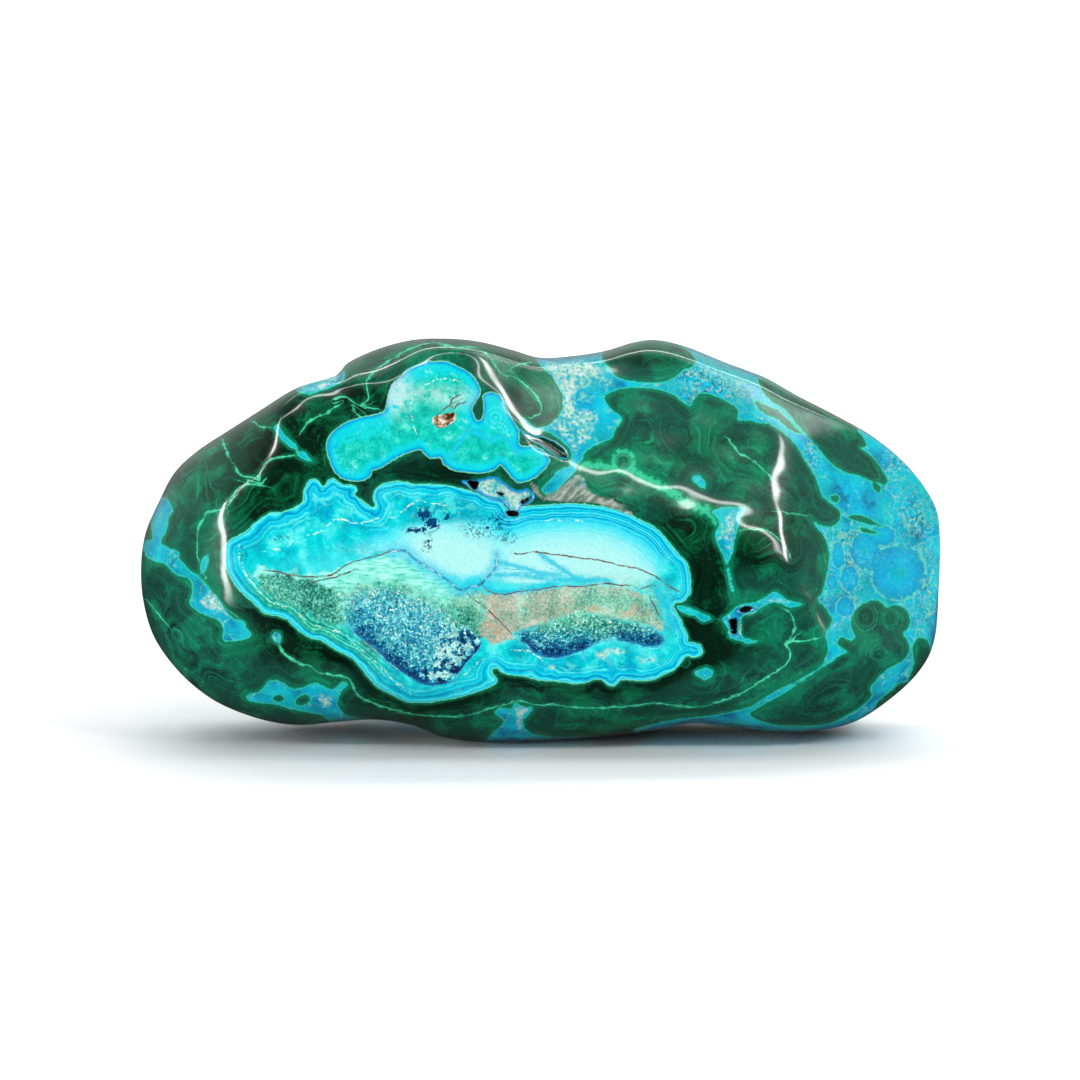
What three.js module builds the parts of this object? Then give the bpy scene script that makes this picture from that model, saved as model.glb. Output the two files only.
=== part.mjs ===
// A polished nodule of chrysocolla and malachite, modelled as the single stone that it is.
// Millimetres, +Z up. The stone stands on a small flat on its underside, and its flat-cut "window"
// face looks towards -Y. The origin is the middle of the bounding box's bottom face.
//
// Shape: a lobed outline is swollen into a full, rounded body, shallow facets are ground into its
// faces, and its underside is ground flat. u runs right and v runs up in the outline's own plane,
// and w stands out of it, towards whoever faces the window.
import * as THREE from "three";

// ---------- driving dimensions ----------
const FRONT_DEPTH = 28; // from the outline's plane to the crown of the front, before facets
const BACK_DEPTH = 25; // the same for the back
const LEAN = THREE.MathUtils.degToRad(7); // the window face leans back by this much
const BASE_CUT = 1.3; // how much of the lowest lobe is ground away to make the flat
const AROUND = 88; // columns round the outline
const ROWS = 38; // rows from the crown of the front to the crown of the back

// The stone's outline seen square to the window, clockwise from the left end. [u, v]
const OUTLINE = [
  [-60, 26.5], [-59.3, 31.5], [-57.4, 36], [-55, 40.6], [-51.5, 43.9], [-47, 46.8], [-41, 50.2],
  [-36, 53], [-30.6, 54.9], [-28.6, 57], [-24.5, 59], [-19.5, 60.2], [-14.5, 60.4], [-9, 60],
  [-4, 58.9], [0, 57.9], [5, 58.2], [10, 59], [14, 60.2], [17.5, 60.6], [22, 59.6], [28, 57.2],
  [34, 54.9], [39, 52.1], [45, 49], [50.5, 45.8], [55.5, 41.4], [59.2, 36], [60, 31.5], [59.8, 24],
  [59.3, 15.6], [57.2, 10.8], [53, 6.6], [47.5, 3], [41.5, 1.6], [34.5, 1.6], [28, 2.3], [23, 2.7],
  [17, 1.7], [9, 0.7], [0, 0.1], [-8, -0.1], [-14.5, 0.7], [-19.5, 2.5], [-25, 3.3], [-31, 2.9],
  [-37, 2.5], [-43, 3.6], [-49.3, 6.3], [-54.4, 10.5], [-58.1, 15.7], [-59.7, 21.2],
];
const HEART = [0, 30]; // the point in the outline that the rows spread from
const BLUR = 0.035; // the lobes fade over this share of the outline's length, towards the crowns
const BLUR_FROM = 0.1; // how far towards a crown they start to fade, and are gone (0 rim, 1 crown)
const BLUR_TO = 0.95;

// How full the body is: 2 is an ellipsoid's section, and a higher number is a squarer one.
const FULLNESS = 2.5;
const SQUARER = [
  { u: -14, v: 60, spread: 9, more: 1.8 }, // the blunt crown over the small blue lobe
  { u: -36, v: 53, spread: 9, more: 2.2 }, // the left shoulder
  { u: -60, v: 30, spread: 16, more: 0.4 },
  { u: 60, v: 26, spread: 15, more: 0.8 }, // the sawn-looking right end
];

// Facets ground into the front and back. Each lowers the surface to a plane that stands `high`
// over (u, v) and falls away by `slope` along the direction (du, dv).
const FRONT_FACETS = [
  { u: -12, v: 27, high: 21.4, slope: 0.05, du: 0.1, dv: 1 }, // the window face
  { u: -25, v: 54.3, high: 20.1, slope: 0.5, du: -0.35, dv: 0.94 }, // upper left
  { u: 34.5, v: 33, high: 20.3, slope: 0.63, du: 0.88, dv: 0.48 }, // right cheek
  { u: 40, v: 47, high: 13, slope: 0.9, du: 0.54, dv: 0.84 }, // top right
  { u: -46.5, v: 28, high: 20.9, slope: 0.5, du: -0.99, dv: -0.1 }, // left cheek
  { u: -42.5, v: 18, high: 20.9, slope: 0.5, du: -0.76, dv: -0.65 }, // lower left
];
// Two slopes that meet in a furrow: the higher of them is what the grinding left.
const RIGHT_SHOULDER = { u: 16, v: 38, high: 20.2, slope: 0.36, du: 0.25, dv: 0.97 };
const UPPER_LOBE = { u: 0, v: 44, high: 20, slope: 0.62, du: 0.8, dv: 0.6 };
const BACK_FACETS = [
  { u: -24, v: 31, high: 21, slope: 0.1, du: -0.8, dv: 0.6 },
  { u: 22, v: 36, high: 20, slope: 0.34, du: 0.7, dv: 0.7 },
  { u: 20, v: 14, high: 19, slope: 0.62, du: 0.3, dv: -0.95 },
  { u: -34, v: 14, high: 18, slope: 0.7, du: -0.6, dv: -0.8 },
];
const FRONT_ROUNDING = 1.3; // how far the polish rounds a facet's edge
const BACK_ROUNDING = 5; // the back is only tumbled, so its edges are softer

// Broad hollows and swellings left by the botryoidal growth. `lift` is outwards, in millimetres.
const SWELLINGS = [
  { u: 5.5, v: 53, wide: 5, tall: 6, lift: -1.2 }, // saddle between the top lobes
  { u: 34, v: 27, wide: 4, tall: 4.5, lift: 0.6 }, // boss beside the right cheek
  { u: -14, v: 49, wide: 8, tall: 6, lift: 0.4 }, // the small blue lobe
];

// ---------- the shape as a function ----------
const bell = (x, y) => Math.exp(-(x * x + y * y));

// A soft minimum: the smaller of a and b, with the corner between them rounded over r.
const softMin = (a, b, r) => {
  const h = Math.max(r - Math.abs(a - b), 0) / r;
  return Math.min(a, b) - (h * h * r) / 4;
};
const softMax = (a, b, r) => -softMin(-a, -b, r);

const outlineCurve = new THREE.CatmullRomCurve3(
  OUTLINE.map(([u, v]) => new THREE.Vector3(u, v, 0)),
  true,
  "catmullrom",
  0.5,
);
const rim = outlineCurve.getSpacedPoints(AROUND).slice(0, AROUND);

// A closed row of points, each moved to the mean of itself and its neighbours on both sides.
function blurred(points) {
  const side = Math.round(AROUND * BLUR);
  return points.map((_, i) => {
    const sum = new THREE.Vector3();
    for (let k = -side; k <= side; k++) sum.add(points[(i + k + AROUND) % AROUND]);
    return sum.divideScalar(2 * side + 1);
  });
}
const belly = blurred(blurred(rim));

function fullnessAt(u, v) {
  return SQUARER.reduce(
    (n, s) => n + s.more * bell((u - s.u) / s.spread, (v - s.v) / s.spread),
    FULLNESS,
  );
}

const facetHeight = (f, u, v) => f.high - f.slope * ((u - f.u) * f.du + (v - f.v) * f.dv);

// How far the front stands out over (u, v), once the body's own `rise` there has been ground down.
function frontHeight(u, v, rise) {
  let w = FRONT_DEPTH * rise;
  for (const f of FRONT_FACETS) w = softMin(w, facetHeight(f, u, v), FRONT_ROUNDING);
  const slopes = [RIGHT_SHOULDER, UPPER_LOBE].map((f) => facetHeight(f, u, v));
  w = softMin(w, softMax(...slopes, FRONT_ROUNDING), FRONT_ROUNDING);
  for (const s of SWELLINGS)
    w += s.lift * bell((u - s.u) / s.wide, (v - s.v) / s.tall) * Math.min(1, 2 * rise);
  return w;
}

function backHeight(u, v, rise) {
  const lower = (w, f) => softMin(w, facetHeight(f, u, v), BACK_ROUNDING);
  return BACK_FACETS.reduce(lower, BACK_DEPTH * rise);
}

// The point at column `around` (0 to 1, back along the outline) and row `down` (0 at the front's
// crown, 1 at the back's). Its section from crown to outline is a superellipse.
function stonePoint(around, down) {
  const column = Math.round((1 - around) * AROUND) % AROUND;
  const power = 2 / fullnessAt(rim[column].x, rim[column].y);
  const polar = down * Math.PI;
  const reach = Math.sin(polar) ** power;
  const towardsCrown = Math.abs(Math.cos(polar));
  const fade = THREE.MathUtils.smoothstep(towardsCrown, BLUR_FROM, BLUR_TO);
  const edge = rim[column].clone().lerp(belly[column], fade);
  const u = HEART[0] + (edge.x - HEART[0]) * reach;
  const v = HEART[1] + (edge.y - HEART[1]) * reach;
  const rise = towardsCrown ** power;
  const w = polar <= Math.PI / 2 ? frontHeight(u, v, rise) : -backHeight(u, v, rise);
  return new THREE.Vector3(u, w, v - HEART[1]);
}

// From the outline's own plane to the standing stone: w faces -Y and leans back.
const standUp = new THREE.Matrix4()
  .makeRotationX(-LEAN)
  .multiply(new THREE.Matrix4().makeScale(1, -1, 1));

function polishedStone() {
  const shell = new THREE.SphereGeometry(1, AROUND, ROWS);
  const { position, uv } = shell.attributes;
  for (let i = 0; i < position.count; i++) {
    const down = 1 - uv.getY(i);
    const onPole = down < 1e-6 || down > 1 - 1e-6;
    const p = stonePoint(onPole ? 0 : uv.getX(i), down).applyMatrix4(standUp);
    position.setXYZ(i, p.x, p.y, p.z);
  }
  shell.computeBoundingBox();
  const { min, max } = shell.boundingBox;
  const floor = min.z + BASE_CUT;
  for (let i = 0; i < position.count; i++)
    position.setXYZ(
      i,
      position.getX(i) - (min.x + max.x) / 2,
      position.getY(i) - (min.y + max.y) / 2,
      Math.max(position.getZ(i) - floor, 0),
    );
  shell.computeVertexNormals();
  return shell;
}

const stone = new THREE.Mesh(
  polishedStone(),
  new THREE.MeshStandardMaterial({ color: 0x0f6b5c, roughness: 0.12, metalness: 0 }),
);
stone.name = "polished_stone";

const specimen = new THREE.Group();
specimen.name = "chrysocolla_specimen";
specimen.add(stone);

export default specimen;
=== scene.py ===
# %% [markdown]
# # A polished nodule of chrysocolla and malachite
# One stone, about 120 mm long, ground and polished all over. Its front is cut nearly flat, like a
# window, and shows dark green banded malachite wrapped round a bright blue heart of chrysocolla, with
# two hollows in it that are lined with tiny quartz crystals (a druse).
#
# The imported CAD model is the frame: it gives the stone's size and place. This script builds the fine
# surface over the same formula, then works out for every point how far it is from each marking, and
# lets one material turn those distances into bands, rims and veins.

# %% Load the frame
import math
import bpy
import numpy as np
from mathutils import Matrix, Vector


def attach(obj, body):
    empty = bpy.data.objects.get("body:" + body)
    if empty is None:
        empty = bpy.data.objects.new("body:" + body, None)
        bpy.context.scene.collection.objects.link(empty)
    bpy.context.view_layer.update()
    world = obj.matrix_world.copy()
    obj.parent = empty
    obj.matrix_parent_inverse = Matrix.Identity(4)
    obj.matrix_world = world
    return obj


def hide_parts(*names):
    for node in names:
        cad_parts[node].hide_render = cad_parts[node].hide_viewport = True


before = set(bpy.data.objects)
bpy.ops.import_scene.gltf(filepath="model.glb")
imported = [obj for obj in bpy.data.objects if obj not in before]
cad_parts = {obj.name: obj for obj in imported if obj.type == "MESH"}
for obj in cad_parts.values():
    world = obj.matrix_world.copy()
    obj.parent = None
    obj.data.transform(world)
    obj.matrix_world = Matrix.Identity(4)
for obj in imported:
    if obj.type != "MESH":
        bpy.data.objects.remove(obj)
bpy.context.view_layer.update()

MM = 0.001

# %% [markdown]
# ## The body of the stone
# A real nodule like this grows as lumpy, kidney-like masses, and the polisher then grinds a few broad
# facets on it. It could be sculpted, or built as a cage and subdivided. Here it is a formula, because
# the same formula gives the CAD solid, and it can be worked out on as fine a grid as the looks need.
#
# u runs right and v runs up in the plane of the outline, and w stands out of that plane. A superellipse
# joins the outline to the crown of the front and of the back. Planes then cut the facets, with a soft
# minimum so that their edges are rounded, as polishing leaves them.

# %% Driving dimensions of the body, in millimetres
FRONT_DEPTH, BACK_DEPTH = 28.0, 25.0  # from the outline's plane to each crown, before the facets
LEAN = math.radians(7)
BASE_CUT = 1.3  # how much of the lowest lobe is ground away to make the flat
HEART = np.array([0.0, 30.0])  # where the crowns are, which the rows spread from
# The outline's lobes fade over this share of its length, from and to these shares of the way to a crown.
BLUR, BLUR_FROM, BLUR_TO = 0.035, 0.1, 0.95
FULLNESS = 2.5  # 2 is an ellipsoid's section, and a higher number is a squarer one
FRONT_ROUNDING, BACK_ROUNDING = 1.3, 5.0  # how far the polish rounds the facets' edges

OUTLINE = [
    (-60, 26.5), (-59.3, 31.5), (-57.4, 36), (-55, 40.6), (-51.5, 43.9), (-47, 46.8), (-41, 50.2),
    (-36, 53), (-30.6, 54.9), (-28.6, 57), (-24.5, 59), (-19.5, 60.2), (-14.5, 60.4), (-9, 60),
    (-4, 58.9), (0, 57.9), (5, 58.2), (10, 59), (14, 60.2), (17.5, 60.6), (22, 59.6), (28, 57.2),
    (34, 54.9), (39, 52.1), (45, 49), (50.5, 45.8), (55.5, 41.4), (59.2, 36), (60, 31.5),
    (59.8, 24), (59.3, 15.6), (57.2, 10.8), (53, 6.6), (47.5, 3), (41.5, 1.6), (34.5, 1.6),
    (28, 2.3), (23, 2.7), (17, 1.7), (9, 0.7), (0, 0.1), (-8, -0.1), (-14.5, 0.7), (-19.5, 2.5),
    (-25, 3.3), (-31, 2.9), (-37, 2.5), (-43, 3.6), (-49.3, 6.3), (-54.4, 10.5), (-58.1, 15.7),
    (-59.7, 21.2),
]
# u, v, spread, and how much squarer the section is there
SQUARER = [(-14, 60, 9, 1.8), (-36, 53, 9, 2.2), (-60, 30, 16, 0.4), (60, 26, 15, 0.8)]
# u, v, height of the plane there, its slope, and the direction in which it falls
FRONT_FACETS = [
    (-12, 27, 21.4, 0.05, 0.1, 1),
    (-25, 54.3, 20.1, 0.5, -0.35, 0.94),
    (34.5, 33, 20.3, 0.63, 0.88, 0.48),
    (40, 47, 13, 0.9, 0.54, 0.84),
    (-46.5, 28, 20.9, 0.5, -0.99, -0.1),
    (-42.5, 18, 20.9, 0.5, -0.76, -0.65),
]
# Two slopes that meet in a furrow
RIGHT_SHOULDER = (16, 38, 20.2, 0.36, 0.25, 0.97)
UPPER_LOBE = (0, 44, 20, 0.62, 0.8, 0.6)
BACK_FACETS = [
    (-24, 31, 21, 0.1, -0.8, 0.6),
    (22, 36, 20, 0.34, 0.7, 0.7),
    (20, 14, 19, 0.62, 0.3, -0.95),
    (-34, 14, 18, 0.7, -0.6, -0.8),
]
# u, v, half width, half height, lift
SWELLINGS = [(5.5, 53, 5, 6, -1.2), (34, 27, 4, 4.5, 0.6), (-14, 49, 8, 6, 0.4)]


# %% Curves
def curve_through(points, closed=True, steps=6):
    """A smooth curve through given points. From b to c, with a before b and d after c, it is
    b + s(c - a)/2 + s^2(2a - 5b + 4c - d)/2 + s^3(3b - a - 3c + d)/2, for s from 0 to 1."""
    p = np.array(points, float)
    if closed:
        a, b, c, d = p[np.arange(-1, len(p) - 1)], p, np.roll(p, -1, 0), np.roll(p, -2, 0)
    else:
        p = np.vstack([2 * p[0] - p[1], p, 2 * p[-1] - p[-2]])
        a, b, c, d = p[:-3], p[1:-2], p[2:-1], p[3:]
    s = (np.arange(steps) / steps)[None, :, None]
    a, b, c, d = a[:, None], b[:, None], c[:, None], d[:, None]
    cubic = b + s * (c - a) / 2 + s**2 * (2 * a - 5 * b + 4 * c - d) / 2 + s**3 * (3 * b - a - 3 * c + d) / 2
    cubic = cubic.reshape(-1, 2)
    return cubic if closed else np.vstack([cubic, p[-2]])


def evenly(curve, count):
    """`count` points at equal steps along a closed curve."""
    loop = np.vstack([curve, curve[:1]])
    run = np.concatenate([[0], np.cumsum(np.hypot(*np.diff(loop, axis=0).T))])
    at = np.arange(count) / count * run[-1]
    return np.column_stack([np.interp(at, run, loop[:, i]) for i in (0, 1)])


def blurred(loop):
    """Each point of a closed curve moved to the mean of its neighbours within BLUR of its length."""
    side = round(len(loop) * BLUR)
    wrapped = np.vstack([loop[-side:], loop, loop[:side]])
    run = np.vstack([[0, 0], np.cumsum(wrapped, axis=0)])
    width = 2 * side + 1
    return (run[width:] - run[:-width]) / width


# %% Bell, soft minimum, step and plane
def bell(x, y):
    """exp(-(x squared + y squared)): 1 in the middle, and almost 0 beyond 2."""
    return np.exp(-(x * x + y * y))


def soft_min(a, b, rounding):
    """The smaller of a and b, less a quarter of `rounding` where they are equal, so edges are round."""
    near = np.maximum(rounding - np.abs(a - b), 0) / rounding
    return np.minimum(a, b) - near * near * rounding / 4


def smooth_step(low, high, x):
    """0 below `low`, 1 above `high`, and 3t^2 - 2t^3 between."""
    t = np.clip((x - low) / (high - low), 0, 1)
    return t * t * (3 - 2 * t)


def plane(facet, u, v):
    """The height of a facet's plane over (u, v)."""
    at_u, at_v, high, slope, du, dv = facet
    return high - slope * ((u - at_u) * du + (v - at_v) * dv)


# %% The surface as a function of two parameters
def body(around, polar):
    """The stone's surface before any marking. Column i of `around` is a point of the outline, and a
    row's polar angle runs from 0 at the front's crown to pi at the back's. With n the fullness,
    reach = sin(polar)^(2/n) carries the outline in towards the heart, and depth x |cos(polar)|^(2/n)
    lifts it. Returns u, v and w, each rows x columns."""
    rim = evenly(curve_through(OUTLINE, steps=40), around)
    belly = blurred(blurred(rim))
    full = FULLNESS + sum(m * bell((rim[:, 0] - u) / s, (rim[:, 1] - v) / s) for u, v, s, m in SQUARER)
    polar = polar[:, None]
    reach = np.sin(polar) ** (2 / full)
    to_crown = np.abs(np.cos(polar))
    rise = to_crown ** (2 / full)
    fade = smooth_step(BLUR_FROM, BLUR_TO, to_crown)[..., None]
    edge = rim + (belly - rim) * fade
    u, v = np.moveaxis(HEART + (edge - HEART) * reach[..., None], -1, 0)
    front, back = FRONT_DEPTH * rise, BACK_DEPTH * rise
    for facet in FRONT_FACETS:
        front = soft_min(front, plane(facet, u, v), FRONT_ROUNDING)
    furrow = -soft_min(-plane(RIGHT_SHOULDER, u, v), -plane(UPPER_LOBE, u, v), FRONT_ROUNDING)
    front = soft_min(front, furrow, FRONT_ROUNDING)
    for at_u, at_v, wide, tall, lift in SWELLINGS:
        front += lift * bell((u - at_u) / wide, (v - at_v) / tall) * np.minimum(1, 2 * rise)
    for facet in BACK_FACETS:
        back = soft_min(back, plane(facet, u, v), BACK_ROUNDING)
    return u, v, np.where(polar <= math.pi / 2, front, -back)


def stood_up(u, v, w):
    """From the outline's plane to the standing stone: w faces -Y, and the top leans back by LEAN."""
    v = v - HEART[1]
    y = -w * math.cos(LEAN) + v * math.sin(LEAN)
    z = v * math.cos(LEAN) + w * math.sin(LEAN)
    return np.stack([u, y, z], -1)


# %% [markdown]
# ## A grid that spends its points where they show
# Even steps of the polar angle would crowd the rim and leave the window coarse. So the rows are spaced
# by the distance that they cover along a mean section: across the flat window first, then down the side.

# %% Rows and columns
AROUND, FRONT_ROWS, BACK_ROWS = 576, 122, 50
MEAN_RADIUS = 44.0
FRONT_FLAT, BACK_FLAT = 21, 19  # the heights at which the facets cut the mean section off


def polar_rows(rows, depth, flat):
    """Polar angles from a crown to the rim at equal steps along a mean section, whose radius is
    MEAN_RADIUS and whose height is cut off at `flat`."""
    fine = np.linspace(0, math.pi / 2, 4000)
    section = np.column_stack([
        MEAN_RADIUS * np.sin(fine) ** (2 / 3), np.minimum(depth * np.cos(fine) ** (2 / 3), flat)])
    run = np.concatenate([[0], np.cumsum(np.hypot(*np.diff(section, axis=0).T))])
    return np.interp(np.arange(rows) / rows * run[-1], run, fine)


front_half = polar_rows(FRONT_ROWS, FRONT_DEPTH, FRONT_FLAT)
back_half = math.pi - polar_rows(BACK_ROWS, BACK_DEPTH, BACK_FLAT)[::-1]
polar = np.concatenate([front_half, [math.pi / 2], back_half])
u, v, w = body(AROUND, polar)
print("grid:", u.shape, "points:", u.size)

# %% [markdown]
# ## Where each point shows on a drawing of the stone
# The markings are drawn in millimetres, as they show to someone who stands square to the window.
# So each point of the surface gets the place where the line from that viewpoint crosses the drawing.
# It belongs to the stone, and doesn't change when a camera moves. The drawing doesn't show the stone's
# flanks: there a marking would run straight back, so a sway that grows with depth keeps its edge uneven.

# %% Viewpoint and drawing
VIEW_TARGET = np.array([0.0, 0.0, 29.5])
VIEW_DISTANCE = 454.5
DRAWING_SCALE = 0.994
DRAWING_MIDDLE = np.array([0.08, 30.26])
SWAY = 3.0  # the most that a marking strays on the flanks
TOWARDS_VIEWER = np.array([0, -math.cos(LEAN), math.sin(LEAN)])
DRAWING_UP = np.array([0, math.sin(LEAN), math.cos(LEAN)])

standing = stood_up(u, v, w)
lowest, highest = standing.reshape(-1, 3).min(0), standing.reshape(-1, 3).max(0)
SHIFT = np.array([-(lowest[0] + highest[0]) / 2, -(lowest[1] + highest[1]) / 2, -lowest[2] - BASE_CUT])


def on_drawing(points):
    """Points of the stone, carried onto the drawing by straight lines through the viewpoint."""
    step = points - VIEW_TARGET
    nearer = VIEW_DISTANCE / (VIEW_DISTANCE - step @ TOWARDS_VIEWER)
    flat = np.stack([step[..., 0] * nearer, step @ DRAWING_UP * nearer], -1)
    return flat * DRAWING_SCALE + DRAWING_MIDDLE


place = standing + SHIFT
drawn = on_drawing(place).reshape(-1, 2)
solid = place.reshape(-1, 3)
facing = smooth_step(-4, 0.5, w).ravel()  # 1 on the drawn side, 0 on the back
on_drawn_side = facing > 0.3
sway = SWAY * smooth_step(5, -5, w).ravel()[:, None]
drawn += sway * np.column_stack([np.sin(solid[:, 1] / 2 + solid[:, 2] / 9),
                                 np.sin(solid[:, 1] / 2.3 + solid[:, 0] / 7 + 1.5)])
print("drawing spans", drawn.min(0).round(1), "to", drawn.max(0).round(1))

# %% [markdown]
# ## Distances to the markings
# Each marking is an outline or a line of a few points. For every point of the stone the script finds
# how deep inside an outline it is, in millimetres (negative outside). Such a distance changes smoothly,
# so a material can put an edge, a rim or a hundred bands on it, all of them sharper than the mesh.


# %% Depth inside an outline
def depth_inside(points, outline, reach=6.0):
    """How far each point is from a closed outline: positive inside and negative outside, and no
    further out than `reach`. It is the least distance to an edge, and a point is inside when a ray
    from it crosses the edges an odd number of times."""
    loop = curve_through(outline, steps=4)
    depth = np.full(len(points), -float(reach))
    near = np.flatnonzero(((points > loop.min(0) - reach) & (points < loop.max(0) + reach)).all(1))
    x, y = points[near].T
    least, inside = np.full(len(near), np.inf), np.zeros(len(near), bool)
    for (ax, ay), (bx, by) in zip(loop, np.roll(loop, -1, 0)):
        ex, ey = bx - ax, by - ay
        t = np.clip(((x - ax) * ex + (y - ay) * ey) / max(ex * ex + ey * ey, 1e-12), 0, 1)
        least = np.minimum(least, (x - ax - t * ex) ** 2 + (y - ay - t * ey) ** 2)
        if ey:
            inside ^= ((ay > y) != (by > y)) & (x < ex * (y - ay) / ey + ax)
    found = np.sqrt(least)
    depth[near] = np.where(inside, found, -np.minimum(found, reach))
    return depth


def deepest(points, outlines, reach=6.0):
    """The depth inside whichever outline holds the point deepest."""
    return np.max([depth_inside(points, outline, reach) for outline in outlines], axis=0)


# %% Distance from a line, and soft spots
def beside(points, lines, reach=3.0):
    """Two distances from the nearest of some open lines: one that is positive on a line's left and
    negative on its right, so it passes through zero on the line, and one without a sign."""
    signed, far = np.full(len(points), float(reach)), np.full(len(points), float(reach))
    for line in lines:
        run = curve_through(line, closed=False, steps=4)
        near = np.flatnonzero(((points > run.min(0) - reach) & (points < run.max(0) + reach)).all(1))
        x, y = points[near].T
        for (ax, ay), (bx, by) in zip(run[:-1], run[1:]):
            ex, ey = bx - ax, by - ay
            px, py = x - ax, y - ay
            t = np.clip((px * ex + py * ey) / max(ex * ex + ey * ey, 1e-12), 0, 1)
            found = np.hypot(px - t * ex, py - t * ey)
            closer = found < far[near]
            at = near[closer]
            far[at] = found[closer]
            signed[at] = np.where(ex * py - ey * px >= 0, found, -found)[closer]
    return signed, far


def spots(points, rows):
    """A sum of soft round spots, each u, v, half width, half height and strength."""
    return sum(s * bell((points[:, 0] - a) / p, (points[:, 1] - b) / q) for a, b, p, q, s in rows)


marks = {}

# %% [markdown]
# ## The blue heart
# The window's heart is chrysocolla that filled a cavity from its walls inwards, so its colour runs in
# bands that follow the wall, from deep blue through cyan to almost white. The wall bulges in buds,
# where little kidneys of it grew outwards.

# %% Outline of the heart
HEART_OUTLINE = [
    (-47.3, 28), (-46.8, 30), (-44, 31.6), (-42.5, 33), (-40.5, 34.3), (-39, 34.3), (-37, 35),
    (-35.6, 36), (-35.4, 37.6), (-34.6, 39.2), (-33.6, 39.3), (-32.9, 38.5), (-32.7, 37.7),
    (-32.1, 38.5), (-31.5, 39.5), (-30.6, 39.2), (-29.6, 38.5), (-28.3, 38.5), (-27.5, 37.9),
    (-28, 37), (-27.2, 36.5), (-26.2, 35.7), (-25.1, 35.1), (-24.6, 35.5), (-25, 36.6),
    (-24.5, 38), (-23, 38.8), (-21, 39), (-19, 38.6), (-17, 38.6), (-14, 38.4), (-12, 38),
    (-10, 37.4), (-8, 36.5), (-6, 35.9), (-4.5, 34.5), (-2.5, 35.2), (0, 35.4), (3, 35.6),
    (6, 35.6), (9, 35.3), (11, 34.9), (13, 34.3), (15, 33.3), (17, 32.3), (18.5, 31), (19.3, 30),
    (20.2, 29), (21, 28), (22, 27), (22.5, 25.5), (22.7, 24), (22.7, 22.5), (22.3, 21.7),
    (21.5, 21), (20.6, 20.8), (20.1, 20.3), (20.3, 19.8), (20.8, 19), (21.3, 18), (21.7, 17),
    (22.2, 16), (22.2, 14.9), (23.3, 14.7), (24.3, 14.2), (24.4, 13.2), (23.5, 12.6),
    (22.4, 12.9), (21.5, 12.2), (20.8, 11.4), (20, 10.6), (18.5, 10), (17.5, 9.4), (16, 9.2),
    (14, 9.2), (12.3, 9.3), (11.8, 8.7), (11, 8.3), (10.3, 8.5), (9.8, 9.1), (9, 9.4),
    (7.8, 9.2), (7, 8.8), (5, 8.7), (4, 8.9), (2, 9.1), (0, 9.2), (-2, 9.8), (-4, 10),
    (-5.3, 10.3), (-6.8, 11.1), (-7.3, 10.2), (-6.4, 9.3), (-6.8, 8.6), (-8, 8), (-10, 7.3),
    (-12, 6.7), (-15, 6.1), (-18, 5.9), (-20, 6), (-22.5, 7.2), (-24.5, 8.3), (-25.8, 9.8),
    (-27, 11.3), (-28.5, 12.7), (-31, 14), (-33, 15.3), (-34.5, 15.5), (-36.5, 16.9), (-38, 18.4),
    (-40, 19), (-41.5, 19.3), (-43, 20.8), (-44.8, 22.3), (-46.3, 24.4), (-47.2, 26.5),
]
heart = depth_inside(drawn, HEART_OUTLINE, reach=12)
marks["heart"] = heart
# Bands are crowded at the right and drawn out at the left, where the filling is a deeper cyan.
marks["filling"] = heart * (1 - spots(drawn, [(-42, 27, 20, 12, 0.38), (-24, 34, 16, 6, 0.35),
                                              (-6, 10, 34, 4, 0.45)]).clip(0, 0.8))
print("heart:", round(float((heart > 0).mean() * 100), 1), "% of the points")

# %% [markdown]
# ## Softer zones in the heart
# Inside the heart, quartz and clay minerals make softer zones: a green wash, a beige band of weathered
# rock, an olive corner. Their edges are vague, so they become masks from 0 to 1.

# %% Outlines of the zones
GREEN_WASH = [
    (-43, 25.8), (-38, 25.4), (-31, 25.6), (-27, 27.2), (-22, 28.2), (-18, 26.6), (-14, 24),
    (-11.5, 22.3), (-10, 20.4), (-13, 18.5), (-17, 20.5), (-23, 22.3), (-28, 22.3), (-34, 20.5),
    (-40, 22),
]
BEIGE = [
    (-9.6, 22.3), (-6, 22), (-2, 22.6), (2, 23), (8, 23.3), (13, 23), (15.5, 21.8), (17.3, 19.5),
    (18.6, 16.6), (15, 17), (11.5, 18), (8, 19.2), (4, 18.8), (1, 17.5), (-2, 16), (-4, 15.4),
    (-6.5, 14.6), (-8.4, 15.4), (-9.4, 17), (-8.2, 18.8), (-8.6, 20.6),
]
OLIVE = [
    (-42, 24.8), (-38.5, 24.8), (-34.5, 24.1), (-31, 22.8), (-29, 20.8), (-28.5, 18.4),
    (-31, 17.6), (-34, 18.9), (-37, 20.5), (-40, 21.7), (-41.6, 23),
]


# %% Masks of the zones
def soft_zone(outline, softness=1.2):
    """1 well inside an outline, 0 outside it, and between over `softness` mm on both sides."""
    return smooth_step(-softness, softness, depth_inside(drawn, outline, 2 * softness))


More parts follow.
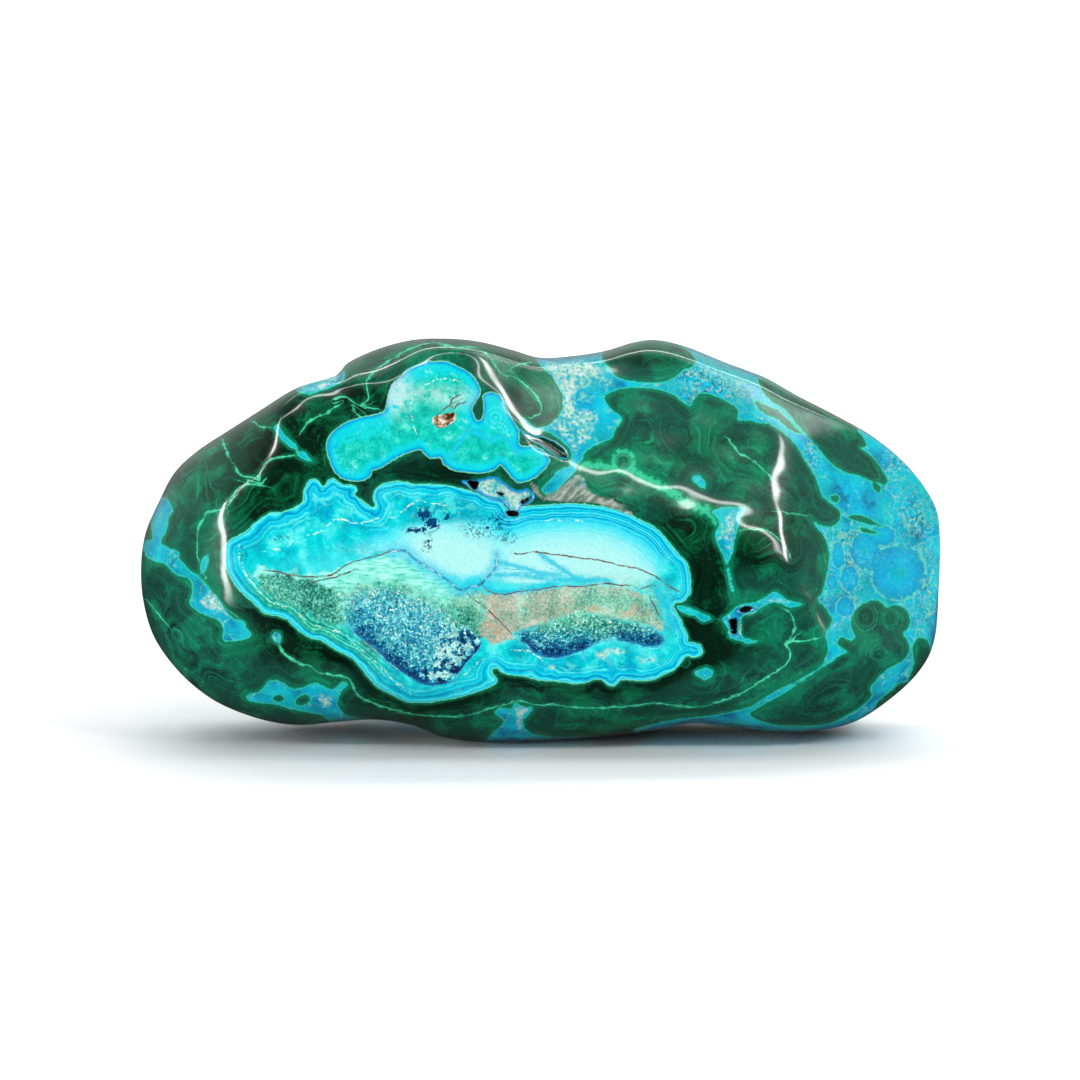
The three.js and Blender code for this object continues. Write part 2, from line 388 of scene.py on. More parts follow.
marks["wash"] = soft_zone(GREEN_WASH, 2.2)
marks["beige"] = soft_zone(BEIGE, 0.8)
marks["olive"] = np.maximum(soft_zone(OLIVE, 1.4), spots(drawn, [
    (-11, 19.6, 2.6, 3.2, 1.3), (-9.5, 16.4, 1.2, 1.6, 1), (-25.5, 15.5, 2, 3.5, 0.8)]).clip(0, 1))
marks["greener"] = spots(drawn, [(10, 21, 7, 3, 1), (15, 19, 4, 3, 0.6), (-2.5, 20.5, 0.9, 3, 1),
                                 (-11.5, 21.5, 2, 1.2, 1.2), (-9, 20.2, 1, 2, 1)]).clip(0, 1)
marks["pale"] = spots(drawn, [(-13.5, 29, 8, 4.4, 1.05), (-22, 30.6, 6, 2, 0.5), (3, 30, 11, 4.2, 1.2),
                              (13, 27.5, 6.5, 5, 1), (-2, 25, 5, 1.6, 0.8),
                              (-30, 28.5, 7, 2, 0.35)]).clip(0, 1)
marks["teal_wall"] = spots(drawn, [(-39, 19, 5, 4, 1), (-33, 15.5, 5, 3.5, 1), (-27, 11.5, 4, 3, 0.9),
                                   (-43.5, 21, 3, 3, 0.7)]).clip(0, 1)
marks["bulging"] = 0.25 + 0.75 * spots(drawn, [(8, 11, 16, 3, 1), (-33, 35, 12, 3.5, 1),
                                               (-14, 36, 8, 2.5, 1)]).clip(0, 1)
marks["rust"] = spots(drawn, [(14, 19.3, 2.6, 0.8, 1), (9, 19.9, 2, 0.5, 1), (4, 19.6, 3, 0.5, 0.8),
                              (-7.5, 18.2, 0.8, 1.6, 0.8), (-6.5, 16.2, 1.4, 1, 0.8),
                              (-6.2, 21, 0.8, 0.8, 1)]).clip(0, 1)
marks["navy_specks"] = spots(drawn, [
    (-17.3, 34.2, 1.3, 0.9, 2), (-16.2, 32.6, 1, 0.8, 2), (-18.6, 31.7, 1.6, 0.4, 2),
    (-14, 33.8, 0.6, 0.6, 1.6), (-16.8, 30, 0.5, 1.2, 1.4), (-9, 32, 3.6, 2, 0.62),
    (-6, 33, 1.6, 1.6, 0.72), (-4.5, 30.5, 1.3, 0.8, 0.8), (-17, 28.8, 0.8, 0.6, 0.6),
    (-44.7, 28, 0.8, 1.6, 0.75), (-39, 30.5, 2.2, 0.8, 0.6), (-26, 32, 3, 1, 0.35)]).clip(0, 2)

# %% [markdown]
# ## The druse
# Two hollows in the heart were never filled. Quartz crystals a third of a millimetre across line them,
# stained blue by the copper, and darkened by painted shade where they are deepest.

# %% Outlines of the hollows
LEFT_DRUSE = [
    (-30.5, 22.5), (-27, 24.3), (-23, 24.6), (-19, 23.6), (-15.5, 22), (-13, 20.5), (-11.5, 18),
    (-9.8, 16), (-8.8, 14.4), (-10.2, 12.7), (-11.8, 10.8), (-12.9, 9), (-15, 8.4), (-17.5, 8.5),
    (-19, 9.3), (-22, 11.3), (-25, 14), (-28, 16.4), (-30, 19),
]
RIGHT_DRUSE = [
    (-4.3, 16), (-2, 17), (0.5, 17.9), (3, 19), (6, 19.7), (9, 19.4), (11.5, 18.6), (14, 18),
    (17, 17.3), (18.4, 16), (18.7, 14.8), (17.5, 14), (15, 14.4), (12.5, 15), (10.5, 15),
    (8.5, 14.5), (7, 13.8), (4.5, 12.9), (2.5, 12.5), (0.5, 12.7), (-1, 13.3), (-2, 14.5),
]
SPARKLING = [
    (-15.4, 16), (-13, 16), (-11, 17), (-9.6, 16), (-8.9, 14.8), (-10, 13), (-11.8, 11),
    (-12.8, 9.2), (-15, 8.9), (-17.3, 9.2), (-17.5, 10.2), (-16, 11), (-15.6, 13), (-14.3, 14),
    (-15.5, 15.2),
]
# The deep lower edges of the hollows: the walls are steeper there, and painted shade darkens them.
DEEP_EDGES = [
    [(-27, 16), (-25, 14.4), (-22, 11.8), (-19, 9.6), (-17, 8.8), (-14, 8.8), (-12.5, 9.8), (-11, 12),
     (-9.4, 14)],
    [(-2.2, 14.8), (-1, 13.7), (1, 13.1), (4, 13.5), (6.5, 14.2)],
    [(12.5, 15.8), (14.5, 15.3), (16.5, 15), (18, 15.2)],
]
druse = deepest(drawn, [LEFT_DRUSE, RIGHT_DRUSE])
marks["druse"] = druse
marks["sparkle"] = soft_zone(SPARKLING, 0.7)
from_deep_edge = beside(drawn, DEEP_EDGES, reach=8)[1]
marks["deep"] = 1 - smooth_step(0.2, 7, from_deep_edge)
marks["deepest"] = 1 - smooth_step(0.1, 1.6, from_deep_edge)
marks["shallow"] = ((1 - smooth_step(0.6, 3.2, druse)) * (1 - marks["deep"]) * (1 - marks["sparkle"])
                    + spots(drawn, [(8, 17.5, 8, 1.6, 0.8)])).clip(0, 1)

# %% [markdown]
# ## Cracks and fine veins
# Fine healed cracks cross the heart, some stained brown and some filled with blue. Bright green hairlines
# of malachite run through the dark green. All are lines a few tenths of a millimetre wide.

# %% Brown cracks and blue veins
BROWN_CRACKS = [
    [(-41, 25.6), (-39.5, 25.5), (-37.5, 25)],
    [(-37, 24.9), (-34, 24.7), (-31.5, 25), (-30, 25.9), (-28.5, 26.8), (-26, 27.5), (-24, 28),
     (-22.5, 28.6)],
    [(-3.7, 28.2), (-2.8, 28.1), (-0.9, 28.5), (2, 28.1), (4, 27.9), (6, 27.5), (8, 27.4), (10, 27),
     (12, 26.5), (13.5, 26.2), (15.2, 25.8), (17, 25), (18.2, 24.3), (19, 23.6), (20, 23), (21, 22.5)],
    [(-8.7, 23.8), (-8.4, 23.2), (-7.5, 22.5), (-6, 22.1), (-4.5, 22.2), (-3, 22.5), (0, 22.8),
     (2, 23.2), (4, 23.3), (6, 23.2), (8, 23.5), (10, 23.7), (12, 23.5), (13.5, 23.4)],
    [(15.5, 23), (16.8, 23.4), (17.5, 23.3)],
    [(16.7, 21.4), (17.3, 20.3), (17.8, 19.2), (18.3, 18.6)],
    [(-10.5, 21.8), (-9.5, 21), (-8, 20), (-6.5, 18.5), (-5.2, 17.2), (-4.3, 16.3)],
    [(-15.2, 49.2), (-14.2, 50.1), (-13.4, 50.6), (-13.1, 51.5), (-12.2, 52)],
    [(-12.9, 50), (-12.3, 50.7), (-11.4, 50.9)],
    [(-28.3, 25.6), (-30, 24.9), (-32, 24.4), (-34, 24)],
]
BLUE_VEINS = [
    [(-22.3, 28.5), (-20.3, 28.7), (-19.3, 27.8), (-18, 26.9), (-17, 26.3), (-15.5, 25.3), (-14, 24.3),
     (-13, 23.5), (-12.2, 22.8), (-11.4, 22.8), (-10.5, 23.2), (-9, 23.5), (-8, 24.5), (-7.3, 25.2),
     (-6.7, 26), (-6.4, 27), (-6.4, 27.7)],
]
SOFT_VEINS = [
    [(-13.2, 43), (-12.6, 44.3), (-11.5, 45.8), (-10.4, 46.6), (-9.2, 46.2), (-7.5, 45.4), (-5.5, 45.6),
     (-4, 44.6), (-3.2, 43.2)],
    [(0.3, 28), (2, 26.8), (4, 25.5), (6, 24.2), (9, 24.3), (11, 23.8)],
    [(-6.5, 27), (-3, 26.2), (0, 25.3), (3, 25)],
    [(-6.5, 24.9), (-3, 25), (1, 24.4), (5, 24.2)],
    [(-8.5, 23.4), (-6.5, 22.5), (-4, 22.5), (-1, 22.9), (2, 23.4)],
    [(17.6, 22.8), (18.4, 21.4), (19.2, 20), (19.6, 18.6), (20.2, 17.2)],
]
print("cracks:", len(BROWN_CRACKS), "veins:", len(BLUE_VEINS) + len(SOFT_VEINS))

# %% Cream, mossy and green lines
CREAM_LINES = [
    [(-41, 28.6), (-38.5, 29), (-37, 30.2), (-36.3, 30.5), (-34, 31.2), (-32.5, 31.8), (-31, 33.2),
     (-29.5, 33.4), (-28, 32.8), (-26.5, 32.9), (-25, 33.4), (-23, 33.6), (-21.5, 33.6), (-20.5, 34.8),
     (-19, 35.8), (-17.5, 36.1), (-16, 35.7), (-14, 35.6)],
    [(-45.3, 29), (-45, 27), (-44, 25), (-42.5, 23), (-40.8, 21.2), (-38.5, 20.2), (-37, 19.9),
     (-35.5, 18.4), (-34, 17.7), (-31.5, 16.6), (-29.5, 16.4), (-28, 14.6), (-26, 13), (-24, 11.2),
     (-22.5, 9.6), (-21, 8.4), (-19.8, 7.5)],
    [(-11.5, 9.8), (-10.5, 10.7), (-9.5, 11.6), (-8.8, 12.1)],
    [(-3.5, 13.6), (-1.5, 13.4), (0, 12.4)],
    [(-18.5, 46.5), (-19.3, 49), (-19.2, 51.3), (-17.5, 53.3), (-15, 54.5), (-12.5, 54.3)],
    [(0.8, 33.1), (2.5, 33.3), (4.5, 33.2), (6.5, 33.1)],
]
MOSS = [
    [(6, 41.6), (9, 41.5), (11, 41.2), (14, 40.7), (16, 39.7), (18.5, 38.2), (21, 36.7), (23, 35.5),
     (25.5, 34.5), (26.8, 33)],
    [(14, 42.1), (13.5, 43), (12.5, 43.3), (11.5, 42.8), (11.3, 41.7), (12, 41), (13.2, 41), (14, 42.1)],
]
GREEN_LINES = [
    [(-26, 54.5), (-24.5, 56), (-23, 57), (-20.5, 58.5), (-18, 59.6), (-15.5, 59.9), (-12.5, 59.3),
     (-10, 59.3), (-8, 58.3), (-6.5, 56.3), (-5.3, 55), (-4, 54.9), (-2, 53.5), (-0.8, 52.4),
     (0, 51.2), (0.3, 50.1), (0, 49.2), (-0.9, 48.8)],
    [(-4, 56.2), (-3, 56.8), (-1.5, 56.9)],
    [(-47.7, 45.1), (-47.2, 43.8), (-46.7, 42.6)],
    [(-43, 48), (-42, 47.3), (-40.8, 47.2)],
    [(-58.8, 20.8), (-57.6, 19.4), (-56, 17.4)],
    [(-45.8, 41.2), (-45.3, 40.3), (-44.2, 39.8), (-42.7, 39.6)],
    [(-47, 35.2), (-46, 37), (-45.3, 38.1), (-43.5, 38.7), (-42, 38.5), (-41, 38.3)],
    [(-42.2, 39.4), (-42, 40.5), (-41.4, 41.7), (-40.3, 42.5), (-39, 42.8), (-37, 43)],
    [(-47.6, 34.9), (-48.6, 34.7), (-50, 34.4), (-50.7, 33.3), (-51.4, 32), (-51.5, 30), (-51.5, 28),
     (-51, 26), (-50.4, 24.9)],
    [(-35.8, 46.7), (-34.8, 48), (-33.5, 48.8), (-32, 49.4), (-30.8, 50.3), (-30, 50.7)],
    [(-30.8, 51.5), (-29.4, 51.9), (-28, 51), (-26.8, 50.4), (-24.5, 50)],
    [(-26.6, 50.8), (-25.7, 51.7), (-26, 53), (-26.1, 54.3)],
    [(-28.5, 51), (-27.8, 49.6), (-27, 48.9)],
    [(-50.8, 24.3), (-49.5, 22.9), (-47.8, 21), (-46.5, 19.4), (-44.8, 18.2)],
    [(-39.2, 14.4), (-38.6, 13.4), (-37.5, 12.5), (-36, 11.7), (-34.4, 11.2), (-33.4, 10.4), (-31, 9.9),
     (-29.2, 9.6), (-28.3, 8.9), (-27.8, 7.6), (-26.8, 6.5), (-25, 5.7), (-22.3, 4.8), (-19.5, 4.1),
     (-17, 3.8), (-13, 3.7), (-10, 4), (-7.5, 4.9), (-5.7, 5.3), (-3, 6), (-1.5, 5.7), (0, 5.4),
     (2, 5.5), (4, 5.2), (6, 5), (10, 5), (14, 5.3), (17, 5.7), (20, 5.4), (23, 5.1), (25, 5.3),
     (27, 5.9), (29, 6.6), (31, 7.5), (33, 8.8), (35, 10), (36.5, 11), (37.5, 12), (37.8, 13.2),
     (37.5, 14), (37, 14.6), (37.6, 15.2), (38.1, 16), (38.4, 17.2), (38.2, 18.4), (37.6, 19.4),
     (36.4, 20.2)],
    [(37.2, 14.9), (38.5, 15), (40, 15.1), (41.6, 15.4)],
    [(28.5, 45.3), (29.3, 44.3), (30, 43.3), (31, 42.9), (32, 42.3), (33.2, 41.3), (34.3, 40.3),
     (35, 39.5)],
    [(40.3, 33.9), (38.3, 34.2), (36.5, 34.5), (35, 34.6)],
    [(30, 31.6), (31.5, 31.9), (33.5, 31.8), (35, 31.3), (36, 30.4), (37, 29.3), (37.7, 28.2)],
    [(5.6, 41), (7.5, 41.2), (9, 41.1), (10.5, 40.9), (12, 40.8)],
    [(14, 40.6), (15, 39.4), (16.5, 38.7), (18, 37.9), (20, 37), (22, 36.1), (24, 35.2), (25.4, 34.2),
     (26, 33.2), (26.8, 32.3)],
]
print("cream:", len(CREAM_LINES), "moss:", len(MOSS), "green:", len(GREEN_LINES))

# %% Distances from the lines
LINES = {"brown": BROWN_CRACKS, "blue": BLUE_VEINS, "soft": SOFT_VEINS, "cream": CREAM_LINES,
         "green": GREEN_LINES}
for name, lines in LINES.items():
    marks[name + "_line"], marks[name + "_far"] = beside(drawn, lines)
marks["moss_far"] = beside(drawn, MOSS)[1]  # a furry seam, so its side of the line doesn't matter
print("points near a line:", int((np.min([marks[name + "_far"] for name in LINES], axis=0) < 0.2).sum()))

# %% [markdown]
# ## The small blue lobe
# Over the heart sits a smaller, teal mass with a blue rim, and a thin pale line all round it. Beside it
# are a cream-filled pocket and a few open pits.

# %% Outlines of the lobe, pocket and pits
LOBE = [
    (-16.5, 57.1), (-14, 57), (-12.2, 56.3), (-10.3, 55.1), (-9.2, 53.6), (-9, 52.3), (-9.6, 51.2),
    (-10.2, 50.3), (-10, 49), (-9.3, 48.1), (-8.5, 48.8), (-8.3, 50.5), (-8.4, 52.1),
    (-7.3, 52.4), (-6.1, 52.1), (-5.2, 50.8), (-4.6, 49.2), (-3.7, 47.7), (-3.1, 46.4),
    (-3.2, 44.9), (-2.5, 44.3), (-1, 44.4), (0.3, 43.8), (1.2, 42.8), (1.4, 42), (0.5, 40.8),
    (-0.8, 39.7), (-2.6, 39), (-3.8, 39.4), (-4.8, 40.6), (-5.8, 41.6), (-6.7, 41), (-8.5, 40.4),
    (-11, 40.5), (-13, 40.9), (-14.3, 41.7), (-14.9, 42.8), (-16.3, 42.6), (-17.2, 43.2),
    (-18, 44), (-19.3, 43.6), (-20.8, 43.1), (-22.3, 42.2), (-24, 41.1), (-25.2, 40.8),
    (-25.5, 39.9), (-27, 39.2), (-28.8, 39.3), (-30.4, 40.1), (-31.4, 41.8), (-32, 43.9),
    (-31.8, 45.5), (-30.6, 46.9), (-28.8, 48), (-26.8, 48.7), (-24.5, 49.1), (-23.2, 49.8),
    (-22.8, 51.5), (-22.3, 53.4), (-21.3, 54.4), (-20, 55.7), (-18.3, 56.6),
]
POCKET = [
    (-11.8, 39.2), (-9.5, 39.3), (-6.8, 39.9), (-5, 38.8), (-3.6, 37.8), (-1.8, 38), (-0.7, 36.9),
    (-1.2, 36), (-2.6, 35.3), (-3.4, 34.2), (-4.6, 34.1), (-5, 35.5), (-7.5, 36.4), (-9.3, 37.3),
    (-10.7, 38.3),
]
# Each open pit: its outline, its depth in mm and how steep its walls are, in mm of run
PITS = [
    ([(28.6, 18.2), (29.8, 18.5), (29.9, 17.5), (29.7, 16.1), (29, 16), (28.8, 17.2)], 2.2, 0.5),
    ([(30.2, 19.8), (31, 20.3), (32.4, 20.1), (31.4, 19.4), (30.5, 19.2)], 1.4, 0.5),
    ([(-10.9, 39.1), (-9.9, 39.2), (-9.2, 38.9), (-9.5, 37.8), (-10, 37.9)], 1.2, 0.4),
    ([(-4.9, 34.6), (-3.4, 34.6), (-3.1, 34), (-4, 33.7), (-4.8, 33.9)], 1.0, 0.4),
    ([(-2.8, 36.2), (-1.2, 36.9), (-1.6, 36.2), (-2.6, 35.6)], 0.7, 0.4),
    ([(-6.6, 37.6), (-5.8, 37.5), (-5, 37.2), (-5.6, 36.9), (-6.3, 37.1)], 0.6, 0.3),
]
LENS = [(-3.1, 47), (-1.2, 46.1), (0.8, 45.8), (2.5, 45), (4, 43.8), (4.4, 42.4), (3, 42.6), (1.4, 43.6),
        (-0.3, 44.8), (-2, 45.8)]
SCAR = [(-16.2, 48.6), (-14.5, 49.2), (-13, 49.5), (-12.5, 48.8), (-13.4, 47.7), (-15, 47.1),
        (-15.9, 47.6)]

# %% Depths inside them
lobe = depth_inside(drawn, LOBE, reach=9)
marks["lobe"] = lobe
marks["pocket"] = depth_inside(drawn, POCKET, reach=3)
marks["scar"] = depth_inside(drawn, SCAR, reach=3)
marks["lens"] = depth_inside(drawn, LENS, reach=3)
marks["pit"] = deepest(drawn, [outline for outline, _, _ in PITS], reach=3)
print("lobe:", round(float((lobe > 0).mean() * 100), 1), "% of the points")

# %% [markdown]
# ## The blue net between the green islands
# To the right, the malachite breaks up into islands with blue chrysocolla between them, and a few blue
# veins cut across the green elsewhere. The net is drawn as its outer border less the islands in it.

# %% Border of the net
NET_BORDER = [
    (-0.6, 57.6), (1.8, 55), (3.3, 52.3), (3.4, 50), (2, 48), (-0.4, 47.2), (-2.6, 48.7),
    (-2.4, 47.2), (0.8, 46.6), (3, 45.4), (4.7, 43.6), (4.6, 41.4), (5.3, 40.6), (5.6, 41.6),
    (6.4, 42.3), (7, 43.6), (9, 44.7), (10.8, 45.5), (11.4, 46.8), (12.5, 48.6), (10.8, 50),
    (9.8, 51.6), (10.4, 52.3), (13, 53.1), (17, 53), (20, 52.2), (21.7, 50.9), (22.8, 50.4),
    (23.4, 51.6), (24.3, 52.3), (25.5, 52.2), (27, 51.7), (28.3, 51), (29.4, 50.3), (29.9, 49.6),
    (29.8, 48.4), (30.8, 48.2), (32, 48.2), (33, 47.9), (34.5, 47.7), (35.4, 47.2), (36.7, 46.4),
    (38, 45.2), (38.8, 44.2), (39.5, 43), (40.4, 41.5), (41.4, 40), (42, 38.5), (42.5, 37),
    (43.2, 36.2), (44, 35.7), (44.9, 35), (45.3, 34.2), (45.1, 33.2), (44.3, 32.4), (43, 32.3),
    (41.8, 32.8), (40.7, 33.5), (41, 33), (41.8, 32), (42.7, 31), (43.3, 29.7), (43.6, 28),
    (43.4, 26), (43, 24), (42.5, 22.3), (41.8, 21.1), (42.8, 20.4), (43.5, 19.3), (44, 18.2),
    (43.6, 17), (43, 16), (43.2, 15), (43.4, 13.7), (43, 12.4), (42.2, 11.4), (41, 10.4),
    (39.7, 9.6), (38, 8.7), (36, 7.7), (34, 6.6), (32.2, 5.4), (30, 4.7), (26, 3.9), (20, 3.2),
    (14, 1.6), (20, 0.5), (34, -1), (50, -2), (66, 6), (68, 30), (64, 48), (44, 60), (18, 66), (0, 62),
]
print("border:", len(NET_BORDER), "points")

# %% Islands in the net
NET_ISLANDS = [
    [(9.4, 57.6), (10.6, 56.2), (11.6, 54.9), (13.5, 54.3), (16, 54), (18.6, 54.1), (20.5, 54.9),
     (21.5, 55.8), (23, 56.4), (23.4, 57.6), (21.5, 59.3), (18, 60.3), (14, 59.9), (10, 58.8)],
    [(31.8, 4), (33.2, 5.1), (35, 6.1), (37, 7.2), (38.5, 8.3), (40, 9.1), (41, 10), (42.5, 11),
     (44, 11.9), (45.3, 12.9), (46.5, 13.3), (45.5, 14), (44.8, 14.8), (45.5, 15.6), (46.8, 15.1),
     (47.6, 15.5), (47.2, 16.4), (46.9, 17.6), (47.2, 19), (48.2, 20.3), (49.5, 21), (50.8, 21.2),
     (51.8, 20.6), (52.1, 19.9), (53, 20.4), (54.3, 20.3), (55.4, 19.5), (55.8, 18.3), (55.5, 17),
     (54.7, 16.1), (55.4, 15.2), (55.7, 14), (55.4, 12.9), (54.5, 12), (53, 11.2), (51.8, 10.4),
     (50.8, 9.3), (49.8, 8), (50, 6.8), (49.2, 5.8), (47.5, 4.6), (45.5, 3.5), (43.5, 2.6),
     (40, 2.3), (36, 2.4), (33.5, 3)],
    [(33, 54.6), (33.6, 52.8), (35, 51.2), (37, 49.9), (38.6, 48), (40, 46.4), (41.3, 45),
     (42.2, 43.8), (43.3, 42.5), (44.8, 41.2), (46.2, 40.4), (48, 40), (50, 39.2), (52.4, 38.6),
     (51.9, 40.3), (51, 41.6), (49.8, 43), (48.2, 44.2), (49.2, 44.4), (48.8, 45.6), (48, 46.6),
     (47, 48), (44.5, 49.5), (41, 51), (38, 52.2), (35.5, 53.6)],
    [(32.5, 51.4), (33.5, 50.8), (34.7, 50.3), (36, 49.6), (37.5, 48.3), (38.7, 47), (39.5, 46.4),
     (38.5, 46.5), (37.2, 47.3), (36, 48.4), (34.5, 49), (33.2, 49.8), (32.5, 50.8)],
    [(50, 38.9), (50.8, 38.9), (51.4, 38), (51, 37.3), (50.5, 37.8)],
    [(43.9, 36.9), (44.7, 37.1), (45.2, 36.5), (44.8, 35.9), (44.1, 36.1)],
    [(46.4, 33.7), (48, 34), (50, 33.3), (51.6, 32.2), (49.6, 32.7), (47.8, 33.1)],
    [(48, 32.2), (49.5, 31.9), (51, 31.2), (49.2, 31.3)],
    [(56.2, 14), (57, 15.5), (58.5, 15), (58.8, 12), (57, 10), (55.5, 9), (56.4, 11.5)],
    [(52.5, 7.2), (54.5, 8.8), (55.5, 8.2), (53.5, 6.2), (50.5, 4.4), (51, 5.8)],
]
print("islands:", len(NET_ISLANDS))

# %% Veins elsewhere, and the islands in them
VEINS = [
    [(-59.6, 28.6), (-60.5, 30.2), (-58.5, 30.3), (-58.4, 31.8), (-58.6, 33.3), (-58, 35),
     (-57.2, 36.4), (-56.3, 36.7), (-55.6, 35.8), (-55.2, 34.6), (-55.8, 33.6), (-56, 32),
     (-56.6, 30.8), (-57, 29.9), (-56.3, 29.3), (-55.3, 28.9), (-54.3, 28.5), (-54.2, 27.5),
     (-53.4, 26.6), (-52.5, 25.6), (-51.5, 25), (-50.8, 24.2), (-50, 23.3), (-49, 22.2),
     (-48, 20.9), (-47.2, 19.8), (-46.6, 18.9), (-45.3, 18.2), (-44.3, 17.9), (-44, 16.9),
     (-43.3, 16.1), (-43.8, 15.5), (-45.2, 15.1), (-47.5, 14.9), (-47.7, 16), (-47.8, 17.3),
     (-48.7, 18.3), (-50, 18.8), (-51.2, 19.3), (-52.4, 20.2), (-52.7, 21), (-52.3, 22.3),
     (-52.4, 23.8), (-53, 24.5), (-54.3, 24.8), (-55.3, 25.5), (-56.4, 26.6), (-58, 27),
     (-59.3, 27.8)],
    [(-50.9, 24.8), (-50.2, 25.8), (-49.8, 27.2), (-50, 28.3), (-50.7, 27.6), (-51.1, 26.2)],
    [(-44.2, 6.6), (-43.5, 5.9), (-41.5, 5.6), (-39.5, 5.4), (-37.5, 4.8), (-35, 4.3), (-33, 3.9),
     (-32.2, 3.3), (-31, 2.6), (-28.5, 2.8), (-26, 3.2), (-28.8, 3.8), (-29.8, 4.6), (-30.4, 5.6),
     (-30.1, 6.8), (-29.6, 7.7), (-28.8, 8.4), (-29.3, 9.1), (-30.2, 8.5), (-31, 7.8),
     (-32.2, 8.1), (-33.3, 8.7), (-34.6, 8.6), (-35.8, 8), (-37.3, 7.9), (-38.4, 8.7),
     (-39.6, 9.2), (-40.8, 9), (-41.5, 8.2), (-42.3, 7.4), (-43.6, 7.2)],
    [(-8, 0.2), (-6.6, 1.6), (-5.4, 3), (-6.8, 4.2), (-6, 5), (-4.2, 4.9), (-3.6, 5.9),
     (-2.6, 5.2), (-1, 5.1), (-1.6, 3.9), (-2.4, 3), (-1.6, 1.4), (2, 0.7), (8, 0.6), (4, -1.5),
     (-8, -1.5)],
    [(-40.4, 15.5), (-39.9, 16.4), (-39.1, 16.3), (-38.9, 15.3), (-39.5, 14.6)],
    [(-40, 47.3), (-39.3, 47.5), (-38.3, 46.1), (-37, 44.9), (-36.4, 44.1), (-37.4, 44.1),
     (-38.6, 45.1), (-39.6, 46.4)],
    [(-36.6, 43.6), (-35.5, 43.6), (-34.8, 42.9), (-34.1, 42.1), (-35.3, 42.3), (-36.3, 42.8)],
    [(-36.6, 52.7), (-35.6, 53.9), (-34, 54.9), (-32, 55.8), (-29.6, 56), (-29.4, 54.5),
     (-30.5, 53.6), (-32.3, 52.9), (-34.4, 52.2)],
    [(0.2, 37.9), (0.9, 37.1), (1.9, 37.1), (2.9, 37.9), (3.9, 39.1), (4.9, 40), (5.6, 41),
     (4.2, 41.3), (2.8, 40.8), (2, 39.8), (1.2, 38.9)],
    [(23, 39.6), (23.6, 40.2), (24.6, 39.6), (25.1, 38.6), (24.9, 38), (24.1, 38.3), (23.2, 39)],
    [(23.3, 10.2), (24.3, 10.9), (25.2, 11.1), (26.2, 10.5), (26, 9.7), (25, 9.2), (24, 9.6)],
    [(25.9, 34.6), (28, 35.3), (29.6, 35.2), (31.3, 35.1), (30.3, 33.6), (29.9, 32), (29.4, 30.5),
     (29.2, 28.8), (28.8, 27.6), (28.6, 26.3), (28.9, 24.6), (29.4, 22.5), (29.6, 21), (28.9, 22.6),
     (28.3, 24.6), (28.1, 26.2), (27.9, 27.3), (27.3, 28.6), (26.6, 30), (26.4, 31.3), (27, 32.5),
     (26.8, 33.6)],
    [(27.4, 18.3), (28.4, 19.1), (29.3, 19.9), (30.3, 20.6), (31.5, 20.7), (33, 21.1), (34.2, 21.8),
     (35.3, 22.5), (36.1, 22.3), (37, 21.4), (38.2, 21), (39.7, 20.7), (38, 20), (36.8, 20.4),
     (35.8, 20.8), (34.8, 20.7), (33.5, 20.1), (32.5, 19.4), (31.3, 19), (30.6, 18.7), (30.3, 18),
     (30.3, 16.5), (30.7, 15.7), (31.5, 15.3), (33.1, 15.1), (31.3, 14.6), (30.2, 15.1), (29.4, 15.3),
     (28.5, 15.7), (28.3, 17)],
    [(20.2, 20.5), (21.5, 20.4), (22.8, 20), (23.8, 19.6), (24.6, 19.2), (26, 18.5), (25, 17.9),
     (24.3, 18.1), (23.6, 18.8), (22.4, 19), (21.2, 19.5)],
]
VEIN_ISLANDS = [
    [(-40.2, 6.4), (-39.6, 6.9), (-38.8, 6.8), (-38.5, 6.2), (-39.2, 5.9)],
    [(-36.8, 5.9), (-36, 6.7), (-35, 6.9), (-34.5, 6.2), (-35.3, 5.5), (-36.3, 5.4)],
]
print("veins:", len(VEINS))

# %% Depth inside the net and veins
net = np.minimum(depth_inside(drawn, NET_BORDER, 14), -deepest(drawn, NET_ISLANDS, 14))
veins = np.minimum(deepest(drawn, VEINS), -deepest(drawn, VEIN_ISLANDS))
drawn_net = np.maximum(net, veins)
print("net and veins:", round(float((drawn_net > 0).mean() * 100), 1), "% of the points")

# %% [markdown]
# ## The sides and the back
# Nobody drew the back, so it follows the way that the stone grew: round islands of malachite, large and
# small, that swell into each other in a ground of blue. An island is a ball about a point on the
# surface, and the deepest ball wins. Rings round its centre are its growth bands.

# %% Islands all round, blended with the drawing at the rim
SEED = 12
ISLANDS = 120
rng = np.random.default_rng(SEED)
hidden = np.flatnonzero((w < -1).ravel())
centres = solid[rng.choice(hidden, ISLANDS, replace=False)]
radii = rng.uniform(3, 7, ISLANDS) * rng.choice([1, 1.5, 2.1], ISLANDS, p=[0.55, 0.3, 0.15])
cover = np.full(len(solid), -20.0)
rings = np.zeros(len(solid))
for centre, radius in zip(centres, radii):
    away = np.linalg.norm(solid - centre, axis=1)
    deeper = radius - away > cover
    cover[deeper], rings[deeper] = (radius - away)[deeper], away[deeper]
blue_ground = -(cover + 0.6)
marks["net"] = drawn_net * facing + blue_ground * (1 - facing)
print("islands:", ISLANDS, "blue on the back:", round(float((blue_ground > 0)[hidden].mean() * 100)), "%")

# %% [markdown]
# ## Growth bands of the malachite
# Malachite grows in thin shells round many centres at once, and where two growths meet, their bands
# meet in a cusp. So a point takes its band from the growth that is nearest: the heart, the lobe or the
# net on the drawn side, and the rings of its own island on the back.

